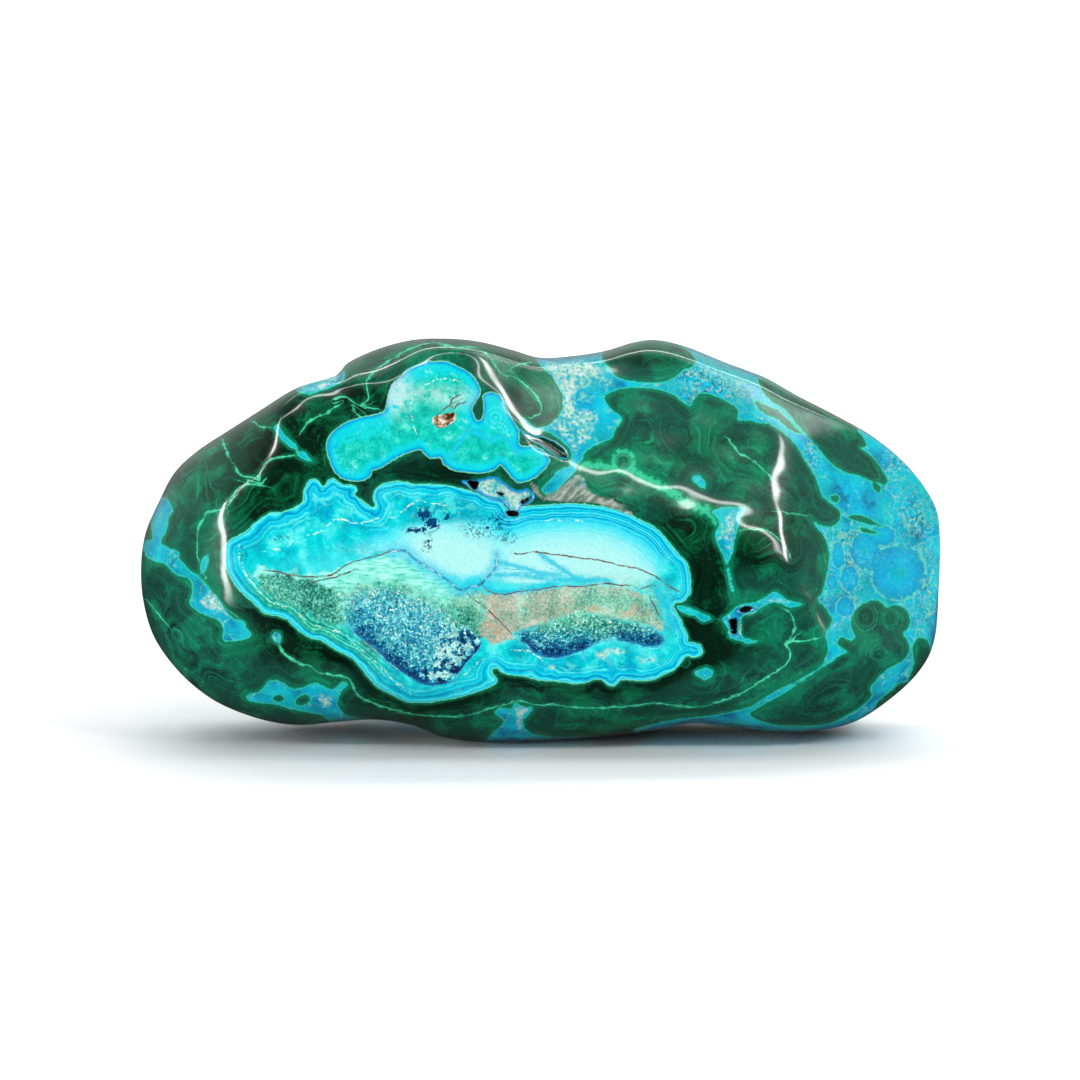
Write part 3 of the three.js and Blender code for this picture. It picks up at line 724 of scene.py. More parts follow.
# %% Bands on the drawn side
NET_START = 40.0  # where the net's bands begin to count, so that they differ from the heart's
LOBE_LAG = 1.5  # the lobe grew later than the heart, by the time that a band this wide took
away_from_net = -drawn_net
from_heart = np.minimum(-heart, -lobe + LOBE_LAG)
nearer_net = away_from_net < 0.9 * from_heart
front_bands = np.where(nearer_net, away_from_net + NET_START, from_heart)
marks["bands"] = np.where(facing > 0.5, front_bands, rings)
# Some parts are nearly black, partly the malachite's own colour and partly painted shade.
DARK_AND_SHADED_PARTS = [(33, 29.5, 5, 4.5, 1.4), (22, 31, 5.5, 4.5, 1.4), (25.5, 23, 3, 6, 1.4),
              (-35, 46, 9, 6, 1.2), (-37, 40, 8, 5, 1.2), (-42, 35, 5, 4, 0.9), (-37, 14.5, 7, 3.5, 1),
              (-14, 40.5, 12, 3, 1), (26, 15, 7, 4, 1.1), (-26, 52, 6, 2.4, 1), (-3, 52, 3, 4, 0.6),
              (16, 57.5, 5, 1.4, 0.7), (24, 44, 10, 5, 0.3)]
# Painted shade along a seam just outside the lower edge of the heart.
painted_shade_seam = np.exp(-np.abs(heart + 1) / 1.6) * (drawn[:, 1] < 20)
marks["shadow"] = (painted_shade_seam + spots(drawn, DARK_AND_SHADED_PARTS)).clip(0, 1) * facing
print("nearest growth is the net for", round(float(nearer_net.mean() * 100)), "% of the points")

# %% [markdown]
# ## Cream rock, speckled ground, oval cells and eyes
# The last markings are patches of pale rock between the lobes, a speckled look in parts of the net, oval
# cells in it, and the bright concentric eyes of single kidneys.

# %% Outlines of the patches and eyes
CREAM_ROCK = [
    [(0.2, 57.3), (1.5, 55.8), (3, 53.4), (3.7, 51), (3, 48.9), (1.2, 47.5), (2.8, 46.7),
     (4.4, 45), (5.4, 43.2), (6, 44.6), (7.5, 45.6), (8.2, 47.2), (9, 48.2), (8.3, 49.7),
     (6, 49.8), (5, 51.4), (6, 53.2), (9, 53.2), (11.4, 53.5), (9.8, 54.6), (9.2, 56.2),
     (6, 57.3), (3, 56.8)],
    [(-51, 20.8), (-50.3, 22), (-49.5, 22.6), (-48.5, 21.3), (-47.5, 20), (-47, 18.9), (-48.3, 19.4),
     (-50, 20)],
    [(-33.4, 7), (-32.2, 6.8), (-31.3, 6.6), (-31.5, 5.5), (-32.2, 5), (-33, 5.6)],
    [(-3.4, 4.9), (-1.6, 4.8), (-2.5, 3.8), (-2.7, 2.2), (-3.2, 1.8), (-3.4, 3.6)],
    [(-36, 53), (-34, 54.6), (-30.6, 55.6), (-30.8, 54.2), (-33.4, 52.8)],
    [(28.3, 33.8), (29.7, 34.4), (29.3, 32), (29.2, 30), (28.8, 28.4), (28.2, 29.6), (28, 31.5)],
    [(6.2, 39.9), (6.9, 38.8), (6.8, 37.2), (6, 37.4), (4.4, 38.6), (5, 39.6)],
    [(33.8, 21.1), (35.2, 21.7), (35.9, 21.6), (37.6, 20.8), (36.3, 20.9), (35, 21.1)],
    [(44.4, 18), (45.8, 18.5), (47.4, 20.3), (48.6, 21.1), (47.2, 19.4), (45.6, 17.9), (44.2, 16.8)],
    [(8.6, 13.4), (9.6, 13.6), (11.6, 14), (13, 13.3), (12, 13.2), (10.6, 13.1), (9.8, 12.2), (9, 12.4)],
    [(14.8, 12.7), (16, 12.3), (17.8, 12.7), (17, 12), (15.2, 11.8)],
    [(1.4, 11.4), (2, 11.6), (2.6, 11.2), (2, 10.9)],
]
# A painted reflection: a pale grey veil with marbled streaks.
GREY_SHEEN = [(0.6, 36.4), (4, 36.1), (8, 35.9), (11, 35.1), (14.2, 33.8), (12, 35.8), (9, 36.8), (7, 38),
              (6, 40), (3.4, 38.4), (0.6, 36.9), (-0.8, 38.8), (-1.2, 38)]
SPECKLED = [(28, 53, 6, 2.4, 1), (24, 55.5, 4, 1.6, 0.8), (41, 43, 1, 2.6, 1), (45.5, 30.6, 2.6, 1.4, 1),
            (56.5, 34, 3.4, 3.6, 0.9), (47.2, 23.6, 1.6, 5, 0.9), (51, 27.4, 4, 1.4, 0.8),
            (53.5, 41.5, 2, 2, 0.7), (57.5, 22, 2, 8, 0.6), (5, 55, 4, 2.4, 0.5), (42.6, 25, 1, 5.5, 1)]
# u, v, half width, half height
OVALS = [(46.7, 24.4, 1.35, 2.1), (44, 23.9, 0.8, 1.3), (45, 28, 0.95, 2.1), (49, 28.6, 2.3, 2.9),
         (46.1, 20.2, 1.5, 1.6), (54, 25.4, 4.3, 4.3), (51.5, 31, 2.2, 1.6), (2.5, 56.3, 0.6, 0.6),
         (4.3, 56.6, 0.5, 0.6), (6.1, 56, 0.45, 0.45), (7.6, 56.4, 0.4, 0.4), (5.4, 57.3, 0.4, 0.4)]
# u, v, half width, half height of the outer ring
EYES = [(12.6, 42.2, 1.3, 1.3), (49.1, 18.7, 1.8, 2.1), (52.8, 18.5, 1.2, 1.6), (51.1, 13.1, 1.35, 1.05),
        (22, 11.7, 0.8, 0.8)]
RIPPLED = (-6.6, 48.7)  # the lobe's ripples run round this point


# %% Masks of the patches and eyes
def oval_radius(points, ovals):
    """How far each point is from the nearest oval's middle: 0 there and 1 on the oval."""
    return np.min([np.hypot((points[:, 0] - a) / p, (points[:, 1] - b) / q) for a, b, p, q in ovals], axis=0)


marks["cream_rock"] = deepest(drawn, CREAM_ROCK, reach=2)
marks["grey_sheen"] = soft_zone(GREY_SHEEN, 0.7) * facing
# A painted reflection: a whitish patch on the lobe's shoulder.
marks["painted_sheen"] = spots(drawn, [(-21.4, 52.4, 1.8, 2.6, 1.5), (-13, 51.6, 3, 1.2, 0.8),
                                 (-17, 52.5, 3, 1, 0.6)]).clip(0, 1)
marks["greenish"] = spots(drawn, [(-17.5, 47, 5, 3.6, 1.2), (-9, 44, 5.5, 2.4, 1.3), (-2.6, 42, 3.2, 2, 1.2),
                                  (-27, 43, 4.5, 2.5, 1), (-15, 52.5, 4.5, 2.6, 1)]).clip(0, 1)
marks["speckled"] = (spots(drawn, SPECKLED) * facing + 0.4 * (1 - facing)).clip(0, 1)
marks["ovals"] = (1 - oval_radius(drawn, OVALS)).clip(-1, 1) * facing - (1 - facing)
marks["eye"] = oval_radius(drawn, EYES).clip(0, 9) + 9 * (1 - facing)
marks["ripple"] = np.hypot(*(drawn - RIPPLED).T) + 9 * (1 - facing)
# The drawing shows through to the back as well, so what is only on the drawn side is put out of reach.
DRAWN_ONLY = ("heart", "lobe", "pocket", "scar", "lens", "pit", "druse", "cream_rock")
for name in DRAWN_ONLY:
    marks[name] = np.where(on_drawn_side, marks[name], -3.0)
for name in (*LINES, "moss"):
    marks[name + "_far"] = np.where(on_drawn_side, marks[name + "_far"], 3.0)
print("markings:", len(marks))

# %% [markdown]
# ## Fine relief
# Softer minerals wear faster under the polishing wheel, so the druse lies in hollows, the pits are open
# holes and the pocket is sunk. They are made in the mesh, not only in the shading, so that the light
# catches their walls. The polish itself is a little wavy, and so the reflections of the lamps waver.

# %% Sink the hollows and pits
DRUSE_DEPTH, POCKET_DEPTH, SCAR_DEPTH, LENS_DEPTH = 0.9, 0.35, 0.3, 0.35
GRAIN = 0.1
# Each wave of the polish: its height, its direction and pitch as radians per millimetre, and its start
WAVES = [(0.035, (0.75, 0.45), 0), (0.03, (-0.5, 0.8), 2), (0.018, (1.3, -0.4), 1), (0.014, (0.4, 1.6), 4)]

druse_wall = 3.6 - 2.8 * marks["deep"]  # the run of a hollow's wall, which is steeper where it is deep
sink = DRUSE_DEPTH * smooth_step(0, druse_wall, druse)
sink += POCKET_DEPTH * smooth_step(0, 0.8, marks["pocket"])
sink += SCAR_DEPTH * smooth_step(0, 0.6, marks["scar"])
sink += LENS_DEPTH * smooth_step(0, 1.1, marks["lens"])
for outline, pit_depth, run in PITS:
    sink += pit_depth * smooth_step(-0.1, run, depth_inside(drawn, outline, 2))
sink += GRAIN * rng.normal(size=len(sink)) * smooth_step(0.2, 0.8, druse)
waves = sum(high * np.sin(drawn @ np.array(along) + start) for high, along, start in WAVES)
sink += waves * smooth_step(0.3, 0.7, facing)
sink = np.where(on_drawn_side, sink, 0).reshape(w.shape)
place = stood_up(u, v, w - sink) + SHIFT
place[..., 2] = np.maximum(place[..., 2], 0)
print("deepest point is sunk by", round(float(sink.max()), 2), "mm")

# %% [markdown]
# ## The stone's mesh
# The grid becomes one closed mesh of four-sided faces, with a fan of triangles at each crown. Every
# marking is stored on it as an attribute, a number for each point, and the material reads it by name.
# A painted image would do too, but it would have to be very large to keep bands this fine sharp.


# %% Mesh helpers
def add_mesh(name, vertices, faces, smooth=True):
    """A mesh object from millimetre vertices and a list of faces, in the scene's collection."""
    mesh = bpy.data.meshes.new(name)
    mesh.from_pydata((vertices * MM).tolist(), [], faces)
    mesh.polygons.foreach_set("use_smooth", np.full(len(mesh.polygons), smooth))
    made = bpy.data.objects.new(name, mesh)
    bpy.context.scene.collection.objects.link(made)
    return made


def add_marks(piece, named):
    """Stores each array as a float attribute with one number for each vertex."""
    for name, values in named.items():
        layer = piece.data.attributes.new(name, "FLOAT", "POINT")
        layer.data.foreach_set("value", np.ascontiguousarray(values, np.float32))


# %% Build the stone's mesh
rows, columns = w.shape
# The points of the first row are all one point, a crown, and so are those of the last.
keep = np.r_[0, columns : (rows - 1) * columns, (rows - 1) * columns]
vertices = place.reshape(-1, 3)[keep]
row, column = np.meshgrid(np.arange(rows - 3), np.arange(columns), indexing="ij")
following = (column + 1) % columns
quads = 1 + np.stack([row * columns + column, (row + 1) * columns + column,
                      (row + 1) * columns + following, row * columns + following], -1).reshape(-1, 4)
ring, last = np.arange(columns), len(vertices) - 1
after = np.roll(ring, -1)
outer = 1 + (rows - 3) * columns
caps = [np.stack([np.zeros_like(ring), 1 + ring, 1 + after], -1),
        np.stack([np.full_like(ring, last), outer + after, outer + ring], -1)]
stone = add_mesh("chrysocolla_stone", vertices, quads.tolist() + np.vstack(caps).tolist())
add_marks(stone, {name: values[keep] for name, values in marks.items()})
print("stone:", len(vertices), "vertices,", 2 * len(quads) + 2 * columns, "triangles")

# %% [markdown]
# ## Quartz crystals in the hollows
# Each crystal is a six-sided prism with a pointed tip, a few tenths of a millimetre thick. Thousands of
# them could be scattered by Geometry Nodes. Here one crystal is a small table of points, and numpy turns
# and places all the copies at once, so that they are one plain mesh that keeps its tips below the polish.

# %% One crystal
SHOULDER = 0.62  # where the tip begins, as a share of the crystal's length
turn = np.arange(6) * math.pi / 3
hexagon = np.column_stack([np.cos(turn), np.sin(turn)])
one_crystal = np.vstack([np.column_stack([hexagon, np.zeros(6)]),
                         np.column_stack([hexagon, np.full(6, SHOULDER)]), [[0, 0, 1]]])
corners = len(one_crystal)
sides = [(i, (i + 1) % 6, 6 + (i + 1) % 6, 6 + i) for i in range(6)]
tip = [(6 + i, 6 + (i + 1) % 6, 12) for i in range(6)]
foot = [(5, 4, 3, 2, 1, 0)]
print("one crystal:", corners, "corners and", len(sides + tip + foot), "faces")

# %% Scatter the crystals
CRYSTALS = 7400
THICK, LONG = (0.09, 0.2), (0.25, 0.5)
TILT, JITTER = 0.45, 0.15


def unit(vectors):
    """Vectors made one long."""
    return vectors / np.linalg.norm(vectors, axis=-1, keepdims=True)


def scattered_crystals(seats, out):
    """`one_crystal` copied onto every seat: its first two axes are stretched by a thickness and its third
    by a length, and it stands along `out`, tilted at random. Returns vertices, copies x corners x 3."""
    count = len(seats)
    thick = rng.uniform(*THICK, count)
    long = rng.uniform(*LONG, count)
    up = unit(out + rng.normal(scale=TILT, size=(count, 3)))
    across = unit(np.cross(up, rng.normal(size=(count, 3))))
    other = np.cross(up, across)
    sized = one_crystal * np.stack([thick, thick, long], -1)[:, None]
    axes = np.stack([across, other, up], 1)
    return seats[:, None] + sized @ axes


# None stands on the very edge, and they are sparser on the shallow slopes.
margin = 0.4 + (1 - marks["deep"]) * rng.uniform(0, 1.8, len(druse))
in_druse = np.flatnonzero((druse > margin) & (facing > 0.9) & (marks["pit"] < 0))
chosen = rng.choice(in_druse, CRYSTALS)
jitter = rng.normal(scale=JITTER, size=(CRYSTALS, 3))
crystal_points = scattered_crystals(place.reshape(-1, 3)[chosen] + jitter, TOWARDS_VIEWER)
first_corner = corners * np.arange(CRYSTALS)[:, None, None]
crystal_faces = sum(((first_corner + np.array(shape)).reshape(-1, len(shape[0])).tolist()
                     for shape in (sides, tip, foot)), [])
crystals = add_mesh("druse_crystals", crystal_points.reshape(-1, 3), crystal_faces, smooth=False)
seat_marks = {name: marks[name][chosen] for name in ("deep", "deepest", "sparkle", "shallow")}
seat_marks["tint"] = rng.uniform(size=CRYSTALS)
add_marks(crystals, {name: np.repeat(values, corners) for name, values in seat_marks.items()})
print("crystals:", CRYSTALS)

# %% [markdown]
# ## A short way to write shader nodes
# A material of this many markings would be hard to read as a list of nodes and links. So a small helper
# adds a node and gives back its output, and calls nest as a formula does. Colours are given from 0 to
# 255, as on a paint chart, and sizes in millimetres.


# %% Paint-chart colours
def paint(red, green, blue):
    """A paint-chart colour in the linear values that shaders use: ((c + 0.055) / 1.055) ^ 2.4."""
    share = np.array([red, green, blue]) / 255
    return (*np.where(share < 0.04, share / 12.92, ((share + 0.055) / 1.055) ** 2.4), 1.0)


# %% A helper that adds nodes
class Nodes:
    """Adds shader nodes to a tree. Every method returns the output of the node that it adds, and takes
    other nodes' outputs or plain values."""

    def __init__(self, tree):
        self.tree = tree
        metres = self.put("TexCoord", output="Object")
        self.mm = self.put("VectorMath", {0: metres, "Scale": 1 / MM}, operation="SCALE")

    def feed(self, socket, value):
        """Links an output to an input socket, or sets the socket to a plain value."""
        if isinstance(value, bpy.types.NodeSocket):
            self.tree.links.new(value, socket)
        else:
            socket.default_value = value

    def put(self, kind, inputs=(), output=0, **settings):
        """Adds a node of this kind, sets it up and feeds its inputs."""
        node = self.tree.nodes.new("ShaderNode" + kind)
        for name, value in settings.items():
            setattr(node, name, value)
        for name, value in dict(inputs).items():
            self.feed(node.inputs[name], value)
        return node.outputs[output]

    def group(self, tree, **inputs):
        """A node group, with its named inputs."""
        return self.put("Group", inputs, node_tree=tree)

    def mark(self, name):
        """The stored number of a marking."""
        return self.put("Attribute", attribute_name=name, output="Fac")

    def math(self, operation, a, b=0.0):
        """One operation on two values."""
        return self.put("Math", {0: a, 1: b}, operation=operation)

    def times(self, *factors):
        """The product of several values."""
        product = factors[0]
        for factor in factors[1:]:
            product = self.math("MULTIPLY", product, factor)
        return product

    def plus(self, *terms):
        """The sum of several values."""
        total = terms[0]
        for term in terms[1:]:
            total = self.math("ADD", total, term)
        return total

    def centred(self, value):
        """A value from 0 to 1 as a difference either side of zero."""
        return self.math("SUBTRACT", value, 0.5)

    def between(self, share, a, b):
        """The value a `share` of the way from a to b."""
        return self.put("Mix", {0: share, 2: a, 3: b})

    def step(self, low, high, value):
        """0 below `low` and 1 above `high`, or the other way round where low is the greater."""
        return self.put("MapRange", {"Value": value, "From Min": low, "From Max": high},
                        interpolation_type="SMOOTHSTEP")


# %% The helper with patterns and colours
class Patterns(Nodes):
    """Nodes that also make noise, grains and cells, and mix colours."""

    def noise(self, size, detail=2.0, shift=0.0):
        """Cloudy noise whose lumps are about `size` mm across, mostly from 0.3 to 0.7."""
        at = self.put("VectorMath", {0: self.mm, 1: (shift, 0.0, shift)}, operation="ADD")
        return self.put("TexNoise", {"Vector": at, "Scale": 1 / size, "Detail": detail})

    def swing(self, size, much, detail=2.0, shift=0.0):
        """The same noise as a difference either side of zero."""
        return self.times(self.centred(self.noise(size, detail, shift)), much)

    def streaks(self, along, stretch, scale, detail):
        """Noise drawn out into streaks, by a factor on each axis of the place `along`."""
        drawn_out = self.put("VectorMath", {0: along, 1: stretch}, operation="MULTIPLY")
        return self.put("TexNoise", {"Vector": drawn_out, "Scale": scale, "Detail": detail})

    def grains(self, size):
        """Grains `size` mm across, each of one random value from 0 to 1."""
        return self.put("TexVoronoi", {"Vector": self.mm, "Scale": 1 / size}, output="Color")

    def cells(self, size):
        """How far a point is from the middle of the nearest of some round cells, `size` mm apart."""
        return self.put("TexVoronoi", {"Vector": self.mm, "Scale": 1 / size}, output="Distance")

    def mix(self, mask, below, above, blend="MIX"):
        """`above` over `below`, where the mask is 1. A colour may be a paint-chart triple."""
        below, above = (paint(*c) if isinstance(c, tuple) else c for c in (below, above))
        return self.put("Mix", {0: mask, 6: below, 7: above}, output=2, data_type="RGBA",
                        blend_type=blend, clamp_factor=True)

    def ramp(self, value, stops):
        """A colour for each value, from (value, colour) stops in rising order."""
        low, high = stops[0][0], stops[-1][0]
        along = self.put("MapRange", {"Value": value, "From Min": low, "From Max": high})
        node = self.tree.nodes.new("ShaderNodeValToRGB")
        self.tree.links.new(along, node.inputs[0])
        points = node.color_ramp.elements
        while len(points) < len(stops):
            points.new(0.5)
        for point, (at, colour) in zip(points, stops):
            point.position = (at - low) / (high - low)
            point.color = paint(*colour)
        return node.outputs[0]


# %% A new node group
def new_group(name, inputs, output="Mask"):
    """An empty node group with float inputs (name: default) and one float output. Returns its nodes, its
    inputs by name, and a function that takes what it puts out."""
    tree = bpy.data.node_groups.new(name, "ShaderNodeTree")
    for title, value in inputs.items():
        socket = tree.interface.new_socket(title, in_out="INPUT", socket_type="NodeSocketFloat")
        socket.default_value = value
    tree.interface.new_socket(output, in_out="OUTPUT", socket_type="NodeSocketFloat")
    entry = tree.nodes.new("NodeGroupInput")
    leave = tree.nodes.new("NodeGroupOutput")
    return Patterns(tree), entry.outputs, lambda value: tree.links.new(value, leave.inputs[0])


# %% [markdown]
# ## Three effects as node groups
# Growth bands, fine lines and mottling come back in every mineral here, each with its own width. A node
# group keeps each effect in one place: bands are noise along a single number, the distance grown, so
# they follow every bulge of the wall.

# %% Growth bands
n, given, give = new_group("growth_bands", {"Distance": 0.0, "Width": 1.0, "Waver": 0.2, "Start": 0.0},
                           "Tone")
waver = n.times(n.swing(2.2, 2.0, 3), given["Waver"])
along = n.math("DIVIDE", n.plus(given["Distance"], waver), given["Width"])
give(n.put("TexNoise", {"W": n.plus(along, given["Start"]), "Scale": 1.0, "Detail": 2.0},
           noise_dimensions="1D"))
GROWTH_BANDS = n.tree


def bands(n, distance, width, waver, start):
    """Bands about `width` mm wide along a distance. Another `start` gives other bands."""
    return n.group(GROWTH_BANDS, Distance=distance, Width=width, Waver=waver, Start=start)


# %% Fine lines
n, given, give = new_group("fine_line", {"Across": 0.0, "Far": 0.0, "Width": 0.2, "Waver": 0.1})
waver = n.times(n.swing(0.9, 2.0, 3), given["Waver"])
off = n.math("ABSOLUTE", n.plus(given["Across"], waver))
inside = n.step(1.3, 0.5, n.math("DIVIDE", off, given["Width"]))
give(n.times(inside, n.step(1.2, 0.7, given["Far"])))
FINE_LINE = n.tree


def line(n, name, width, waver):
    """A line along one of the sets of lines, `width` mm to each side, that strays by `waver` mm."""
    across, far = n.mark(name + "_line"), n.mark(name + "_far")
    return n.group(FINE_LINE, Across=across, Far=far, Width=width, Waver=waver)


# %% Mottling
n, given, give = new_group("mottling", {"Size": 1.0, "Cover": 0.5, "Softness": 0.06})
lumps = n.put("TexNoise", {"Vector": n.mm, "Scale": n.math("DIVIDE", 1.0, given["Size"]), "Detail": 3.0})
edge = n.centred(n.plus(lumps, n.times(n.centred(given["Cover"]), 0.5)))
give(n.put("Math", {0: n.math("DIVIDE", edge, given["Softness"]), 1: 0.5, 2: 0.5},
           operation="MULTIPLY_ADD", use_clamp=True))
MOTTLING = n.tree


def mottling(n, size, cover, softness):
    """Blotches `size` mm across that cover a share of the surface, and whose edges are more or less soft."""
    return n.group(MOTTLING, Size=size, Cover=cover, Softness=softness)


print("groups:", [tree.name for tree in bpy.data.node_groups])

# %% [markdown]
# ## Malachite
# The dark green is malachite. Its bands run from nearly black to a middle green. Near a wall they follow
# it, and further in they run in broad loops, as where several kidneys grew at once.


# %% Malachite colour
def malachite(n):
    """Dark to mid green: bands along the distance grown near a wall, and broad loops further in."""
    grown = n.plus(n.mark("bands"), n.swing(6.0, 3.5))
    near = n.between(0.5, bands(n, grown, 2.2, 0.6, 3.0), bands(n, grown, 0.42, 0.2, 40.0))
    loops = n.plus(n.times(n.noise(10.0, 1, 30.0), 18.0), n.times(n.noise(3.0, 1, 14.0), 1.5))
    inner = n.between(0.3, bands(n, loops, 1.1, 0.5, 9.0), bands(n, loops, 0.26, 0.1, 60.0))
    depth = n.math("MODULO", n.mark("bands"), NET_START)
    banded = n.between(n.step(1.5, 4.0, n.plus(depth, n.swing(2.0, 2.0))), near, inner)
    strong = n.plus(n.times(n.step(0.42, 0.62, n.noise(5.0, 3, 5.0)), 0.6), 0.36)
    patches = n.step(0.45, 0.6, n.plus(n.noise(5.5, 3, 8.0), n.swing(0.5, 0.24)))
    tone = n.plus(n.times(n.centred(banded), strong), n.times(patches, 0.18), n.swing(0.3, 0.16, 3), 0.43)
    green = n.ramp(tone, [(0.24, (4, 42, 32)), (0.36, (14, 66, 52)), (0.46, (20, 86, 68)),
                          (0.56, (12, 106, 78)), (0.67, (16, 128, 92)), (0.82, (44, 154, 116))])
    dark = n.ramp(tone, [(0.34, (0, 18, 8)), (0.48, (0, 36, 20)), (0.6, (0, 64, 38)),
                         (0.78, (6, 116, 66))])
    # The shadow marking mixes in the near-black ramp: partly the malachite's own and partly painted shade.
    return n.mix(n.mark("shadow"), green, dark)


# %% Hairlines and eyes
def with_hairlines(n, colour):
    """Bright green lines of uneven width with a faint glow, and a furry seam of moss green."""
    lively = n.step(0.36, 0.56, n.noise(1.6, 3))
    glow = n.step(0.7, 0.1, n.mark("green_far"))
    colour = n.mix(n.times(glow, lively, 0.4), colour, (16, 128, 88))
    uneven = n.plus(n.times(n.step(0.45, 0.7, n.noise(1.0, 4, 5.0)), 0.2), 0.09)
    bright = n.plus(n.times(lively, 0.6), 0.4)
    colour = n.mix(n.times(line(n, "green", uneven, 0.24), bright), colour, (70, 204, 158))
    furry = n.plus(n.mark("moss_far"), n.swing(0.8, 2.2, 4))
    colour = n.mix(n.times(n.step(1.7, 0.5, furry), 0.9), colour, (0, 128, 84))
    return n.mix(n.times(n.step(0.8, 0.2, furry), 0.8), colour, (50, 200, 154))


def with_eyes(n, colour):
    """A thin light ring round each eye, and a darker kidney inside it."""
    radius = n.plus(n.mark("eye"), n.swing(0.8, 0.16, 3))
    ringed = n.ramp(bands(n, n.times(radius, 1.7), 0.5, 0.1, 11.0),
                    [(0.36, (4, 56, 42)), (0.5, (8, 78, 58)), (0.66, (18, 108, 82))])
    colour = n.mix(n.times(n.step(1.0, 0.9, radius), 0.6), colour, ringed)
    at_edge = n.times(n.step(0.9, 0.97, radius), n.step(1.06, 0.99, radius))
    return n.mix(n.times(at_edge, n.step(0.36, 0.56, n.noise(1.2, 2)), 0.7), colour, (40, 156, 120))


# %% [markdown]
# ## Chrysocolla in the net
# The net between the islands is bright blue, in rounded cells with teal and cream seams between them,
# so a Voronoi pattern gives the cells, and its distance to a cell's edge gives the seams.


# %% Net colour
def net_blue(n):
    """Blue cells, each of its own tone, with seams where a mottling lets them show, and speckles."""
    wobble = n.put("TexNoise", {"Vector": n.mm, "Scale": 0.6, "Detail": 2.0}, output="Color")
    either_way = n.put("VectorMath", {0: wobble, 1: (0.5, 0.5, 0.5)}, operation="SUBTRACT")
    wobbly = n.put("VectorMath", {0: either_way, 1: (1.6, 1.6, 1.6), 2: n.mm}, operation="MULTIPLY_ADD")
    to_seam = n.put("TexVoronoi", {"Vector": wobbly, "Scale": 1 / 2.6}, feature="DISTANCE_TO_EDGE")
    cell = n.put("TexVoronoi", {"Vector": wobbly, "Scale": 1 / 2.6}, output="Color")
    tone = n.plus(n.noise(3.4, 4), n.times(n.centred(cell), 0.16))
    blue = n.ramp(tone, [(0.32, (0, 108, 154)), (0.42, (0, 150, 190)), (0.51, (0, 172, 206)),
                         (0.61, (4, 188, 210)), (0.74, (40, 206, 212))])
    seam = n.times(n.step(0.1, 0.02, to_seam), mottling(n, 4.0, 0.4, 0.08))
    blue = n.mix(n.times(seam, 0.7), blue, (40, 190, 176))
    blue = n.mix(n.times(seam, mottling(n, 0.7, 0.45, 0.04), 0.75), blue, (160, 206, 180))
    speckled = n.mark("speckled")
    worms = n.step(0.045, 0.015, n.math("ABSOLUTE", n.centred(n.noise(0.9, 3))))
    blue = n.mix(n.times(speckled, worms, 0.95), blue, (160, 200, 160))
    blue = n.mix(n.times(speckled, mottling(n, 0.5, 0.34, 0.04), 0.9), blue, (0, 84, 90))
    blue = n.mix(n.times(n.step(0.62, 0.7, n.noise(0.3, 2, 3.0)), 0.25), blue, (110, 214, 204))
    return n.mix(n.times(mottling(n, 5.0, 0.44, 0.14), 0.6), blue, (12, 170, 164))


def with_ovals(n, blue):
    """Oval cells: here and there a cream edge, a teal ring, and blue inside."""
    across = n.mark("ovals")
    cell = n.ramp(n.plus(across, n.swing(1.0, 0.5, 4)),
                  [(0.0, (110, 200, 180)), (0.08, (10, 150, 176)), (0.2, (0, 146, 190)),
                   (0.5, (0, 166, 210)), (0.75, (0, 176, 204)), (1.0, (20, 172, 166))])
    return n.mix(n.times(n.step(-0.06, 0.04, across), 0.75), blue, cell)


# %% [markdown]
# ## Chrysocolla in the heart
# The heart's colour is a ramp along the depth from its wall, with fine bands laid over it, and then the
# vague zones, the cracks and the fine veins, each as one more layer.


# %% Filling of the heart
def heart_filling(n):
    """Fine blue and cyan bands at the wall, then cyan, and almost white where it is pale."""
    filling, bulges = n.mark("filling"), n.cells(2.6)
    grown = n.plus(filling, n.swing(1.6, 0.4), n.times(bulges, n.mark("bulging"), 0.9))
    fine = bands(n, grown, 0.3, 0.1, 20.0)
    wall = n.ramp(fine, [(0.37, (0, 128, 184)), (0.43, (0, 158, 204)), (0.48, (0, 186, 214)),
                         (0.54, (20, 206, 224)), (0.64, (90, 226, 230))])
    cloudy = n.plus(n.noise(3.0, 4, 12.0), n.swing(0.5, 0.2, 3))
    cyan = n.ramp(cloudy, [(0.36, (0, 162, 180)), (0.45, (0, 190, 200)), (0.54, (8, 208, 212)),
                           (0.66, (90, 228, 224))])
    cyan = n.mix(n.step(3.0, 8.0, filling), cyan, (64, 216, 222))
    pale = n.step(0.3, 0.7, n.plus(n.mark("pale"), n.swing(2.4, 0.5, 4, 9.0), n.swing(0.4, 0.25, 3)))
    graded = n.plus(filling, n.times(n.centred(fine), 1.8), n.swing(2.0, 1.4, 4))
    inmost = n.ramp(graded, [(1.0, (0, 158, 206)), (2.0, (14, 192, 220)), (3.0, (70, 218, 228)),
                             (4.2, (132, 226, 228)), (6.5, (170, 232, 228))])
    past_wall = n.plus(filling, n.times(bands(n, grown, 0.9, 0.2, 7.0), 1.6), n.times(n.mark("pale"), -0.9))
    blue = n.mix(n.step(0.9, 2.8, past_wall), wall, n.mix(pale, cyan, inmost))
    return with_teal_wall(n, with_buds(n, blue, filling, bulges), filling, fine)


def with_buds(n, blue, filling, bulges):
    """Small kidneys just inside the wall: darker in the middle, and pale between them."""
    buds = n.times(n.step(0.4, 0.9, n.mark("bulging")), n.step(0.4, 1.2, filling), n.step(4.5, 3.0, filling))
    kidney = n.plus(bulges, n.swing(0.9, 0.7, 4))
    blue = n.mix(n.times(buds, n.step(0.42, 0.2, kidney), 0.55), blue, (0, 146, 194))
    apart = n.times(n.step(0.5, 0.62, kidney), n.step(0.4, 0.55, n.noise(0.7, 4)))
    return n.mix(n.times(buds, apart, 0.5), blue, (90, 224, 216))


